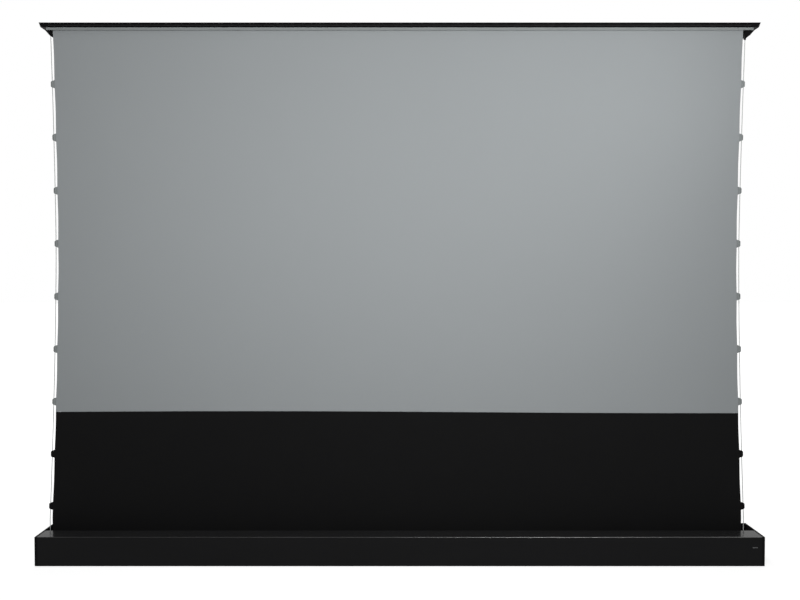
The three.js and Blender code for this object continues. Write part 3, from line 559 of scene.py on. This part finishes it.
STREAKS = (12, 1400, 1400)
DUST_AND_TOP_LIGHT = (0.029, 0.029, 0.03)
DUST_AND_LIGHT_PATCHES = (5, 40, 40)
FACING_UP_TURN = (0.6, 0.95)


def anodised(name):
    """Satin black anodising, made paler where it faces up: a trace of dust and painted light from above."""
    material = finish_of(
        name, (0.0063, 0.0063, 0.0068), change=0.2, rough=(0.17, 0.26),
        mottle=(2, 9, 9), grain=STREAKS, depth=0.01, level=0.075,
    )
    tree = material.node_tree
    normal = tree.nodes.new("ShaderNodeNewGeometry").outputs["Normal"]
    # Painted light from above, with some dust: faces that look up get a paler colour
    facing_up = rescale(tree, xyz(tree, normal)[2], FACING_UP_TURN)
    patches = spread(tree, noise(tree, DUST_AND_LIGHT_PATCHES), 0.8, 1.0)
    mix_colour(tree, calculate(tree, "MULTIPLY", facing_up, patches), DUST_AND_TOP_LIGHT)
    return material


FINISH = {
    "housing_black": anodised("anodised_black"),
    "cap_black": finish_of(
        "moulded_black", (0.0068, 0.0068, 0.0072), change=0.2, rough=(0.46, 0.56),
        mottle=9, grain=2600, depth=0.05, level=0.045,
    ),
    "seal_rubber": finish_of(
        "rubber_black", (0.005, 0.005, 0.005), change=0.3, rough=(0.7, 0.85),
        mottle=30, grain=1500, depth=0.06, level=0.3,
    ),
    "window_smoke": finish_of(
        "smoked_plastic", (0.03, 0.027, 0.033), change=0.1, rough=(0.04, 0.09),
        mottle=60, grain=400, depth=0.002,
    ),
    "control_black": finish_of(
        "control_plastic", (0.007, 0.007, 0.007), change=0.2, rough=(0.35, 0.48),
        mottle=40, grain=3000, depth=0.04, level=0.4,
    ),
    "plated_steel": finish_of(
        "zinc_plate", (0.46, 0.47, 0.48), change=0.16, rough=(0.26, 0.42),
        mottle=60, grain=500, depth=0.01, metallic=1,
    ),
    "rail_alloy": finish_of(
        "mill_alloy", (0.54, 0.55, 0.56), change=0.1, rough=(0.28, 0.42),
        mottle=(3, 40, 40), grain=(15, 1600, 1600), depth=0.015, metallic=1,
    ),
    "plug_white": finish_of(
        "nylon", (0.58, 0.58, 0.56), change=0.05, rough=(0.4, 0.52),
        mottle=30, grain=1800, depth=0.03, level=0.4,
    ),
    "arm_black": finish_of(
        "powder_coat", (0.010, 0.010, 0.011), change=0.2, rough=(0.35, 0.48),
        mottle=12, grain=700, depth=0.08, level=0.4,
    ),
    "screen_grey": finish_of(
        "optical_coat", (0.345, 0.367, 0.377), change=0.02, rough=(0.6, 0.7),
        mottle=3, grain=1200, depth=0.015, level=0.2, sheen=0.03,
    ),
    "drop_black": finish_of(
        "black_cloth", (0.0064, 0.0064, 0.0067), change=0.2, rough=(0.8, 0.9),
        mottle=9, grain=1400, depth=0.05, level=0.12, thread=0.6 * MM,
    ),
    "tab_grey": finish_of(
        "tab_cloth", (0.27, 0.29, 0.29), change=0.06, rough=(0.6, 0.72),
        mottle=30, grain=1400, depth=0.06, level=0.3, sheen=0.05, thread=0.7 * MM,
    ),
    "cord_grey": finish_of(
        "braid", (0.5, 0.52, 0.51), change=0.12, rough=(0.55, 0.7),
        mottle=200, grain=2400, depth=0.08, level=0.3, sheen=0.1,
    ),
}
GOLD = finish_of(
    "contact_gold", (0.62, 0.45, 0.16), change=0.06, rough=(0.2, 0.3),
    mottle=90, grain=900, depth=0.005, metallic=1,
)
MARK_WHITE = finish_of(
    "mark_paint", (0.7, 0.7, 0.7), change=0.04, rough=(0.45, 0.55), mottle=90, grain=2500, depth=0.01
)
BRISTLE = finish_of(
    "bristle", (0.006, 0.006, 0.006), change=0.3, rough=(0.5, 0.65),
    mottle=90, grain=(3000, 400, 3000), depth=0.03, level=0.4,
)

# Bare metal on the cover's worn front edge, with a painted highlight on it that grows brighter towards the
# right
EDGE_METAL_AND_HIGHLIGHT = (0.36, 0.36, 0.36)
EDGE_ROUNDING = 0.9 * MM
EDGE_DEPTH = 0.7 * MM
EDGE_CORNER = HOUSING_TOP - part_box("front_cover")[0].y - EDGE_ROUNDING - 0.5 * MM
HIGHLIGHT_FROM_TO = (-0.15, 0.85)
HIGHLIGHT_LOW_HIGH = (0.15, 1.0)
WEAR_AND_HIGHLIGHT_PATCHES = (25, 300, 300)


def bare_edge_and_painted_highlight(material):
    """Bare metal and a painted highlight on the rounded front edge, found by how near height minus depth
    comes to the corner's.
    """
    tree = material.node_tree
    x, y, z = xyz(tree, place_on(tree))
    edge = (EDGE_CORNER - EDGE_DEPTH, EDGE_CORNER - EDGE_DEPTH / 2)
    on_edge = rescale(tree, calculate(tree, "SUBTRACT", z, y), edge)
    # Painted highlight: the edge's metal is made brighter from left to right
    highlight_share = rescale(tree, x, HIGHLIGHT_FROM_TO, HIGHLIGHT_LOW_HIGH)
    worn_and_lit = calculate(tree, "MULTIPLY", highlight_share, spread(tree, noise(tree, WEAR_AND_HIGHLIGHT_PATCHES), 0.8, 1.0))
    amount = calculate(tree, "MULTIPLY", on_edge, worn_and_lit)
    mix_colour(tree, amount, EDGE_METAL_AND_HIGHLIGHT)
    link(tree, amount, tree.nodes["Principled BSDF"].inputs["Metallic"])
    return material


# Painted highlight on the lip under the lid's groove, and pale bar of the window
LIP_HIGHLIGHT_MIDDLE = (0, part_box("top_lid")[0].y, LID_UNDERSIDE + GROOVE_LOW - 0.7 * MM)
LIP_HIGHLIGHT_REACH = (2, 0.4 * MM, 0.75 * MM)
LIP_HIGHLIGHT_COLOUR = (0.05, 0.05, 0.05)
WINDOW_LOW, WINDOW_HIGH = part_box("ir_window")
WINDOW_MIDDLE = (WINDOW_LOW + WINDOW_HIGH) / 2
WINDOW_BAND = (WINDOW_MIDDLE.x, WINDOW_LOW.y, WINDOW_MIDDLE.z + 1.5 * MM)
WINDOW_REACH = (12 * MM, 2 * MM, 3.2 * MM)
WINDOW_COLOUR = (0.07, 0.075, 0.073)
BAND_PATCHES = (40, 400, 400)


def pale_band(material, middle, reach, colour):
    """A paler band, as far as reach from its middle in each direction."""
    tree = material.node_tree
    mask = spread(tree, noise(tree, BAND_PATCHES), 0.75, 1.0)
    for value, centre, half in zip(xyz(tree, place_on(tree)), middle, reach):
        mask = calculate(tree, "MULTIPLY", mask, calculate(tree, "COMPARE", value, centre, half))
    mix_colour(tree, mask, colour)
    return material


pale_band(FINISH["window_smoke"], WINDOW_BAND, WINDOW_REACH, WINDOW_COLOUR)
OWN_FINISH = {
    "front_cover": bare_edge_and_painted_highlight(anodised("anodised_cover")),
    # Painted highlight along the lip under the lid's groove
    "top_lid": pale_band(anodised("anodised_lid"), LIP_HIGHLIGHT_MIDDLE, LIP_HIGHLIGHT_REACH, LIP_HIGHLIGHT_COLOUR),
}


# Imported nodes

BEVELS = {
    "base_tray": 0.5,
    "front_cover": 0.5,
    "left_end_cap": 0.8,
    "right_end_cap": 0.8,
    "top_lid": 0.5,
    "top_beam": 0.4,
    "left_bar_cap": 1.0,
    "right_bar_cap": 1.0,
    "left_cord_bracket": 0.5,
    "right_cord_bracket": 0.5,
    "left_front_foot": 0.8,
    "left_rear_foot": 0.8,
    "right_front_foot": 0.8,
    "right_rear_foot": 0.8,
    "power_inlet": 0.3,
    "control_socket": 0.3,
    "power_rocker": 0.5,
    "control_box": 1.5,
    "ir_window": 0.3,
}
PLAIN_BEVEL = 0.3


def dress(name):
    """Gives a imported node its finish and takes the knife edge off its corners."""
    node = nodes[name]
    mesh = node.data
    mesh.materials.clear()
    mesh.materials.append(OWN_FINISH.get(name) or FINISH[SLOT_OF[name]])
    for layer in ("custom_normal", "sharp_edge", "sharp_face"):
        if layer in mesh.attributes:
            mesh.attributes.remove(mesh.attributes[layer])
    weld = node.modifiers.new("weld", "WELD")
    weld.merge_threshold = WELD_REACH
    bevel = node.modifiers.new("bevel", "BEVEL")
    bevel.width = BEVELS.get(name, PLAIN_BEVEL) * MM
    bevel.segments = 2
    bevel.limit_method = "ANGLE"
    bevel.angle_limit = SHARP
    normals = node.modifiers.new("normals", "WEIGHTED_NORMAL")
    normals.keep_sharp = True


REPLACED = {
    "view_fabric", "black_drop", "fabric_wrap", "top_trim",
    "left_tab_strip", "right_tab_strip", "left_cord", "right_cord",
    "left_lift_spring", "right_lift_spring",
}
for node_name in nodes:
    if node_name not in REPLACED:
        dress(node_name)


def add(shells, name, slot, body, materials=None, stands_for=()):
    """Makes a piece, with its finish from the record's slot, riding on a body."""
    obj = shells.make(name, materials or [FINISH[slot]])
    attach(obj, body)
    if stands_for:
        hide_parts(*stands_for)
    return obj


# Sheet


def half_width(z):
    if z >= WAIST_Z:
        return WAIST_HALF_WIDTH + TOP_FLARE * ((z - WAIST_Z) / (SHEET_TOP - WAIST_Z)) ** FLARE_POWER
    depth = min(WAIST_Z - z, WAIST_Z - FLARE_BOTTOM)
    return WAIST_HALF_WIDTH + BOTTOM_FLARE * (depth / (WAIST_Z - FLARE_BOTTOM)) ** FLARE_POWER


def plain_edge(z, sign):
    up = (z - ROLLER_Z) / (SHEET_TOP - ROLLER_Z)
    return BOTTOM_SHIFT + (TOP_SHIFT - BOTTOM_SHIFT) * up + sign * half_width(z)


def edge_at(z, sign):
    """The sheet's edge, drawn in a little between one tab and the next."""
    between = 0.5 - 0.5 * math.cos(2 * math.pi * (z - LOWEST_TAB) / TAB_PITCH)
    return plain_edge(z, sign) - sign * SCALLOP * between


def join_z(u):
    """The join of the grey sheet and the drop, which wanders a little along its length."""
    return GREY_BOTTOM + JOIN_SWAY * math.cos(math.pi * (u - JOIN_CREST_SHARE) / JOIN_SPAN_SHARE)


def panel(name, node, slot, rows, low, high):
    """A sheet between the heights low(u) and high(u), in its slot's finish with a black back."""

    def shape(u, v):
        z = low(u) + (high(u) - low(u)) * v
        x = edge_at(z, -1) * (1 - u) + edge_at(z, 1) * u
        return Vector((x, SHEET_FRONT, z)), Vector((x, SHEET_BACK, z))

    def side(points, face):
        return 0 if all(abs(points[corner].y - SHEET_FRONT) < TOUCH for corner in face) else 1

    shells = Shells()
    shells.add(*slab(shape, SHEET_COLUMNS, rows), side)
    return add(shells, name, slot, "housing", [FINISH[slot], FINISH["drop_black"]], [node])


def squash(piece):
    """Gives a piece a mesh of its own."""
    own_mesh(piece)


grey_sheet = panel("grey_sheet", "view_fabric", "screen_grey", GREY_ROWS, join_z, lambda u: SHEET_TOP)
drop_sheet = panel(
    "drop_sheet", "black_drop", "drop_black", DROP_ROWS,
    lambda u: SHEET_BOTTOM, lambda u: join_z(u) - JOIN_GAP,
)


def seam_tape():
    """The tape that joins the grey sheet to the drop, behind them."""

    def shape(u, v):
        z = join_z(u) + SEAM_HALF * (2 * v - 1)
        left = edge_at(z, -1) + SEAM_INSET
        right = edge_at(z, 1) - SEAM_INSET
        x = left * (1 - u) + right * u
        pressed = SEAM_PRESS if round(v * SEAM_ROWS) in SEAM_PRESSED_ROWS else 0
        return Vector((x, SHEET_BACK + TOUCH, z)), Vector((x, SHEET_BACK + SEAM_THICK - pressed, z))

    shells = Shells()
    shells.add(*slab(shape, SEAM_COLUMNS, SEAM_ROWS))
    return add(shells, "seam_tape", "drop_black", "housing")


def tab_half_height(s):
    """Half a tab's height at a distance from the sheet's edge."""
    share = max(s, 0) / TAB_REACH
    straight = TAB_ROOT_HALF + (TAB_TIP_HALF - TAB_ROOT_HALF) * share
    over = s - (TAB_REACH - TAB_CORNER)
    if over <= 0:
        return straight
    return straight - TAB_CORNER + math.sqrt(max(TAB_CORNER**2 - over**2, 0))


def tab_half_thickness(s):
    """The two layers lie flat, part round the cord, and are welded on both sides of it."""
    from_cord = abs(s - CORD_OFFSET)
    hug = CORD_RADIUS + SLEEVE_HUG
    bulge = math.sqrt(max(1 - (min(from_cord, hug) / SLEEVE_FALL) ** 2, 0))
    if from_cord > hug:
        bulge *= max(1 - (from_cord - hug) / (SLEEVE_FALL - hug), 0)
    pressed = SLEEVE_WELD_DEPTH * dent(from_cord - SLEEVE_WELD, SLEEVE_WELD_WIDTH)
    return TAPE_HALF + (SLEEVE_HALF - TAPE_HALF) * bulge - pressed


def tab_strip(side_name, sign):
    """The tape along one side of the sheet, with its tabs."""

    def tape(u, v):
        z = SHEET_BOTTOM + (TAPE_TOP - SHEET_BOTTOM) * v
        x = edge_at(z, sign) - sign * TAPE_WIDTH * (1 - u)
        half = TAPE_HALF - TAPE_DENT * dent(u - 0.5, TAPE_DENT_WIDTH)
        return Vector((x, CORD_Y - TAPE_HALF, z)), Vector((x, CORD_Y + half, z))

    def colour(points, face):
        middle = sum(points[corner].z for corner in face) / len(face)
        return 0 if middle > join_z(max(sign, 0)) else 1

    shells = Shells()
    shells.add(*slab(tape, TAPE_COLUMNS, TAPE_ROWS), colour)
    for step in range(TAB_COUNT):
        middle = LOWEST_TAB + step * TAB_PITCH

        def tab(u, v):
            s = TAB_ROOT + (TAB_REACH - TAB_ROOT) * u
            z = middle + tab_half_height(s) * (2 * v - 1)
            x = plain_edge(z, sign) + sign * s
            crease = 1 - CREASE_DEPTH * dent(abs(2 * v - 1) - 1, CREASE_WIDTH)
            half = max(tab_half_thickness(s) * crease, TAB_THINNEST)
            return Vector((x, CORD_Y - half, z)), Vector((x, CORD_Y + half, z))

        shells.add(*slab(tab, TAB_COLUMNS, TAB_ROWS), colour)
    materials = [FINISH["tab_grey"], FINISH["drop_black"]]
    return add(shells, side_name + "_tabs", "tab_grey", "housing", materials, [side_name + "_tab_strip"])


def tension_cord(side_name, sign):
    """The braided cord that runs through the tabs of one side."""
    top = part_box(side_name + "_cord")[1].z
    points = []
    for i in range(CORD_STEPS + 1):
        z = SHEET_BOTTOM + (top - SHEET_BOTTOM) * i / CORD_STEPS
        points.append(Vector((plain_edge(z, sign) + sign * CORD_OFFSET, CORD_Y, z)))

    def radii(i, angle):
        twist = 2 * math.pi * points[i].z / CORD_LAY
        braid = math.cos(CORD_STRANDS * angle + twist) * math.cos(CORD_STRANDS * angle - twist)
        return CORD_RADIUS * (1 - BRAID_DEPTH + BRAID_DEPTH * braid)

    shells = Shells()
    shells.add(*tube(points, radii, CORD_SIDES))
    return add(shells, side_name + "_tension_cord", "cord_grey", "housing", None, [side_name + "_cord"])


seam = seam_tape()
strips = [tab_strip(name, sign) for name, sign in SIDES.items()]
cords = [tension_cord(name, sign) for name, sign in SIDES.items()]


def top_hem():
    """The grey hem that hangs behind the lid's lower front edge, doubled over along its foot."""
    low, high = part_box("top_trim")

    def shape(u, v):
        x = low.x + (high.x - low.x) * u
        z = low.z + (high.z - low.z) * v
        from_foot = z - low.z
        half = (high.y - low.y) / 2
        if from_foot > HEM_STITCH:
            half -= HEM_STEP
        if from_foot < HEM_FOLD:
            half *= math.sqrt(max(1 - (1 - from_foot / HEM_FOLD) ** 2, HEM_ROUND))
        half -= HEM_STITCH_DEPTH * dent(from_foot - HEM_STITCH, HEM_STITCH_WIDTH)
        middle = (low.y + high.y) / 2 + HEM_WAVE * math.sin(2 * math.pi * x / HEM_WAVE_LENGTH)
        return Vector((x, middle - half, z)), Vector((x, middle + half, z))

    shells = Shells()
    shells.add(*slab(shape, HEM_COLUMNS, HEM_ROWS))
    return add(shells, "top_hem", "tab_grey", "top_bar", None, ["top_trim"])


def wound_cloth():
    """The cloth wound on the roller, a few turns with its edges stepping a little."""
    low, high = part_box("fabric_wrap")
    chance = random.Random(4)
    step = [chance.uniform(0, WRAP_RAGGED) * MM for _ in range(WRAP_ROWS + 1)]

    def shape(u, v):
        turn = WRAP_TURNS * v
        angle = 2 * math.pi * turn
        inner = WRAP_INNER + WRAP_PITCH * turn
        outer = inner + WRAP_CLOTH
        wander = step[round(v * WRAP_ROWS)] * (0.5 - u) * 2 if u in (0, 1) else 0
        x = low.x + (high.x - low.x) * u + wander
        y = math.cos(angle)
        z = math.sin(angle)
        return (
            Vector((x, ROLLER_Y + outer * y, ROLLER_Z + outer * z)),
            Vector((x, ROLLER_Y + inner * y, ROLLER_Z + inner * z)),
        )

    shells = Shells()
    shells.add(*slab(shape, WRAP_COLUMNS, WRAP_ROWS))
    return add(shells, "wound_cloth", "drop_black", "roller", None, ["fabric_wrap"])


hem = top_hem()
wound = wound_cloth()


# Lift


def lift_spring(side_name, sign):
    """A torsion spring round the base pivot, with its long leg along the back of the lower arm."""
    lean = OPEN_ANGLE if sign < 0 else math.pi - OPEN_ANGLE
    start = SPRING_FRONT + SPRING_WIRE
    local = [(SPRING_LEG * (1 - i / LEG_STEPS), start, sign * SPRING_RADIUS) for i in range(LEG_STEPS)]
    for i in range(SPRING_STEPS + 1):
        turn = SPRING_TURNS * i / SPRING_STEPS
        angle = sign * (math.pi / 2 + 2 * math.pi * turn)
        x = SPRING_RADIUS * math.cos(angle)
        z = SPRING_RADIUS * math.sin(angle)
        local.append((x, start + SPRING_PITCH * turn, z))
    points = []
    for x, y, z in local:
        across = x * math.cos(lean) - z * math.sin(lean)
        rise = x * math.sin(lean) + z * math.cos(lean)
        points.append(Vector((sign * PIVOT_X + across, y, BASE_PIVOT_Z + rise)))
    shells = Shells()
    shells.add(*tube(points, lambda i, angle: SPRING_WIRE * SPRING_DRAWN, SPRING_SIDES))
    name = side_name + "_torsion_spring"
    add(shells, name, "plated_steel", side_name + "_lower_drive", None, [side_name + "_lift_spring"])


# Profiles of the small heads, as radius and height in millimetres
RIVET_DOME = [(7.1, 0), (7.15, 1.0), (6.7, 1.8), (5.2, 2.5), (3.4, 2.8), (2.6, 2.8), (2.1, 2.4), (1.6, 2.3)]
RIVET_FOOT = [(4.4, -0.2), (4.5, 0.2), (4.1, 0.5), (2.0, 0.5), (1.5, 0.3)]
SCREW_HEAD = [
    (3.2, -0.6), (3.2, 1.2), (2.9, 1.8), (2.2, 2.1), (1.35, 2.1), (1.25, 1.95), (1.2, 1.0), (0.4, 0.9),
]
SCREW_SIDES = 24
SOCKET_RINGS = (5, 6)


def scaled(profile, share=1.0):
    return [(radius * share * MM, height * share * MM) for radius, height in profile]


def rivet_heads():
    """Pressed heads over the arms' rivets, each on the arm that carries it."""
    run = ARM_LENGTH * math.cos(OPEN_ANGLE)
    rise = ARM_LENGTH * math.sin(OPEN_ANGLE)
    knee_z = BASE_PIVOT_Z + rise
    top_z = BASE_PIVOT_Z + 2 * rise
    for side_name, sign in SIDES.items():
        outer = sign * PIVOT_X
        inner = sign * (PIVOT_X - run)
        middle = (outer + inner) / 2
        rows = [
            ("lower_drive", middle, BASE_PIVOT_Z + rise / 2, RIVET_REAR, 1, ARM_FRONT),
            ("lower_drive", inner, knee_z, RIVET_REAR, 1, ARM_FRONT),
            ("lower_cross", outer, knee_z, RIVET_FRONT, -1, ARM_REAR),
            ("upper_drive", middle, knee_z + rise / 2, RIVET_FRONT, -1, ARM_REAR),
            ("upper_drive", outer, top_z, RIVET_BRACKET, 1, None),
            ("base_slider", inner, BASE_PIVOT_Z, RIVET_SHOE, -1, None),
            ("top_slider", inner, top_z, RIVET_FRONT, -1, None),
        ]
        for number, (body, x, z, y, way, foot) in enumerate(rows):
            shells = Shells()
            shells.add(*turned(scaled(RIVET_DOME), (x, y, z), (0, way, 0)))
            if foot is not None:
                shells.add(*turned(scaled(RIVET_FOOT), (x, foot, z), (0, -way, 0)))
            add(shells, f"{side_name}_rivet_{number + 1}", "plated_steel", f"{side_name}_{body}")


def screw_group(name, body, places, axis, share):
    """Socket screws at places in millimetres, their heads a share of the full size."""
    shells = Shells()
    for place in places:
        shells.add(*turned(scaled(SCREW_HEAD, share), Vector(place) * MM, axis, SCREW_SIDES, SOCKET_RINGS))
    add(shells, name, "plated_steel", body)


for side_name, sign in SIDES.items():
    lift_spring(side_name, sign)
rivet_heads()

for side_name, sign in SIDES.items():
    pivot = sign * PIVOT_X / MM
    under = LID_UNDERSIDE / MM - BRACKET_DEPTH
    spots = [(pivot + step, BRACKET_SCREW_Y, under) for step in BRACKET_SCREW_STEPS]
    screw_group(side_name + "_top_bracket_screws", "top_bar", spots, (0, 0, -1), 0.85)
    spots = [(pivot + step, FOOT_SCREW_Y, FOOT_TOP) for step in FOOT_SCREW_STEPS]
    screw_group(side_name + "_pivot_bracket_screws", "housing", spots, (0, 0, 1), 0.95)
    spots = [(sign * CAP_FACE_X, y, z) for y, z in CAP_SCREWS]
    screw_group(side_name + "_cap_screws", "housing", spots, (sign, 0, 0), 0.9)
spots = [(x, RAIL_SCREW_Y, RAIL_FOOT_TOP) for x in RAIL_SCREW_X]
screw_group("rail_screws", "housing", spots, (0, 0, 1), 0.9)


# Slot brush


def slot_brush():
    """Tufts along the slot that wipe the sheet's side of the shelf."""
    chance = random.Random(11)
    low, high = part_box("slot_seal")
    root_y = high.y - TUFT_ROOT * MM
    root_z = (low.z + high.z) / 2
    start = low.x + TUFT_INSET * MM
    pitch = TUFT_PITCH * MM
    count = int((high.x - low.x - 2 * TUFT_INSET * MM) / pitch)
    shells = Shells()
    for step in range(count):
        middle = start + pitch * (step + 0.5)
        reach = (TUFT_REACH + chance.uniform(0, 0.8)) * MM
        lean = chance.uniform(-0.5, 0.5) * MM
        droop = chance.uniform(0.1, 0.5) * MM

        def shape(u, v):
            x = middle + (u - 0.5) * TUFT_WIDTH * MM * (1 + TUFT_FLARE * v) + lean * v
            y = root_y + reach * v
            z = root_z - droop * v * v
            half = TUFT_HALF * MM * (1 - TUFT_TAPER * v)
            return Vector((x, y, z + half)), Vector((x, y, z - half))

        shells.add(*slab(shape, 2, 3))
    add(shells, "slot_brush", "seal_rubber", "housing", [BRISTLE])


slot_brush()


# Controls


def inlet_pins():
    half_x, half_z = PIN_HALF
    front, back = PIN_ENDS
    shells = Shells()
    for step in (-1, 0, 1):
        x = INLET_X + step * PIN_PITCH
        z = CONTROL_Z + (PIN_OFFSET if step == 0 else -PIN_OFFSET)
        shells.add(*block((x - half_x, front, z - half_z), (x + half_x, back, z + half_z), PIN_CHAMFER))
    add(shells, "inlet_pins", "plated_steel", "housing")


def socket_contacts():
    """The sprung wires in the control socket."""
    shells = Shells()
    for step in range(CONTACT_COUNT):
        x = SOCKET_X + (step - (CONTACT_COUNT - 1) / 2) * CONTACT_PITCH
        points = [Vector((x, y * MM, CONTROL_Z + rise * MM)) for y, rise in CONTACT_PATH]
        wire = tube(points, lambda i, angle: CONTACT_RADIUS, CONTACT_SIDES, Vector((1, 0, 0)))
        shells.add(*wire)
    add(shells, "socket_contacts", "plated_steel", "housing", [GOLD])


def rocker_marks():
    """A bar and a ring, raised on the two halves of the rocker."""
    tilt = Matrix.Rotation(ROCKER_LEAN, 4, "X")
    pivot = Vector((ROCKER_X, ROCKER_Y * MM, CONTROL_Z))

    def on_face(x, z):
        """A mark's outer and inner point, over a place on the rocker's face."""
        face = (ROCKER_FACE + abs(z) / ROCKER_CURVE) * MM
        return [pivot + tilt @ Vector((x * MM, face + rise, z * MM)) for rise in (MARK_RISE, MARK_SINK)]

    def bar(u, v):
        return on_face((u - 0.5) * BAR_MARK_WIDTH, BAR_MARK_LOW + BAR_MARK_HEIGHT * v)

    def ring(u, v):
        angle = 2 * math.pi * (round(v * RING_MARK_STEPS) % RING_MARK_STEPS) / RING_MARK_STEPS
        radius = RING_MARK_INNER + RING_MARK_WIDTH * u
        return on_face(radius * math.cos(angle), RING_MARK_Z + radius * math.sin(angle))

    shells = Shells()
    shells.add(*slab(bar, 2, 6))
    shells.add(*slab(ring, 2, RING_MARK_STEPS))
    add(shells, "rocker_marks", "control_black", "rocker", [MARK_WHITE])


inlet_pins()
socket_contacts()
rocker_marks()


# Soft pieces

for piece in (grey_sheet, drop_sheet, seam):
    squash(piece)
# The strips and cords also get meshes of their own; the closed bar's cord brackets come down to just above
# the strips' fold
for piece in (*strips, *cords):
    squash(piece)


# Camera, light and floor


def build_camera():
    data = bpy.data.cameras.new("camera")
    data.lens = CAMERA_LENS
    data.sensor_width = 36
    camera = bpy.data.objects.new("camera", data)
    camera.location = CAMERA_PLACE
    camera.rotation_euler = (math.radians(CAMERA_PITCH), 0, 0)
    scene.collection.objects.link(camera)
    scene.camera = camera


def ray_kind(tree, *names):
    """1 for the kinds of ray named, and 0 for the others."""
    path = tree.nodes.new("ShaderNodeLightPath")
    found = path.outputs[names[0]]
    for name in names[1:]:
        found = calculate(tree, "MAXIMUM", found, path.outputs[name])
    return found


def pick(tree, factor, low, high):
    """low where the factor is 0 and high where it is 1; each is a number or an output."""
    node = tree.nodes.new("ShaderNodeMix")
    link(tree, factor, node.inputs[0])
    for entry, value in ((node.inputs[2], low), (node.inputs[3], high)):
        if isinstance(value, (int, float)):
            entry.default_value = value
        else:
            link(tree, value, entry)
    return node.outputs[0]


def build_world():
    """An even room, whose far wall is white and whose near side is dimmer where it is mirrored."""
    world = bpy.data.worlds.new("room")
    world.use_nodes = True
    scene.world = world
    tree = world.node_tree
    background = tree.nodes["Background"]
    direction = tree.nodes.new("ShaderNodeTexCoord").outputs["Generated"]
    gloss = rescale(tree, xyz(tree, direction)[1], GLOSS_TURN, (FRONT_GLOSS, 1))
    mirrored = ray_kind(tree, "Is Glossy Ray", "Is Transmission Ray")
    strength = pick(tree, mirrored, ROOM_LEVEL, gloss)
    strength = pick(tree, ray_kind(tree, "Is Camera Ray"), strength, 1.0)
    background.inputs["Color"].default_value = (1, 1, 1, 1)
    link(tree, strength, background.inputs["Strength"])


def outside(tree, value, limit):
    """1 past the limit on either side, and 0 between."""
    return calculate(tree, "GREATER_THAN", calculate(tree, "ABSOLUTE", value), limit)


def build_floor():
    """A pale floor that keeps the shadow, with light of its own except under the housing."""
    half = FLOOR_SIZE / 2
    corners = [(-half, -half, 0), (half, -half, 0), (half, half, 0), (-half, half, 0)]
    mesh = bpy.data.meshes.new("floor")
    mesh.from_pydata(corners, [], [(0, 1, 2, 3)])
    floor = bpy.data.objects.new("floor", mesh)
    scene.collection.objects.link(floor)
    material = bpy.data.materials.new("floor_paint")
    material.use_nodes = True
    tree = material.node_tree
    shader = tree.nodes["Principled BSDF"]
    shader.inputs["Base Color"].default_value = (FLOOR_TONE, FLOOR_TONE, FLOOR_TONE, 1)
    shader.inputs["Roughness"].default_value = FLOOR_ROUGH
    shader.inputs["Specular IOR Level"].default_value = FLOOR_LEVEL
    shader.inputs["Emission Color"].default_value = (1, 1, 1, 1)
    place = place_on(tree)
    x, y, _ = xyz(tree, place)
    clear = calculate(tree, "MAXIMUM", outside(tree, x, cad_box[1][0]), outside(tree, y, cad_box[1][1]))
    away = tree.nodes.new("ShaderNodeVectorMath")
    away.operation = "LENGTH"
    link(tree, place, away.inputs[0])
    level = rescale(tree, away.outputs["Value"], (FLOOR_NEAR, FLOOR_FAR), (FLOOR_LIFT, 1.0))
    seen = ray_kind(tree, "Is Camera Ray", "Is Glossy Ray", "Is Transmission Ray")
    lift = pick(tree, calculate(tree, "MULTIPLY", seen, clear), 0.0, level)
    link(tree, lift, shader.inputs["Emission Strength"])
    mesh.materials.append(material)


def add_lamp(name, place, aim, size, watts):
    data = bpy.data.lights.new(name, "AREA")
    data.shape = "RECTANGLE"
    data.size, data.size_y = size
    data.energy = watts
    lamp = bpy.data.objects.new(name, data)
    lamp.location = place
    lamp.rotation_euler = (Vector(aim) - Vector(place)).to_track_quat("-Z", "Y").to_euler()
    lamp.visible_camera = False
    scene.collection.objects.link(lamp)


build_camera()
build_world()
build_floor()
for row in LAMPS:
    add_lamp(*row)
scene.view_settings.view_transform = "Standard"
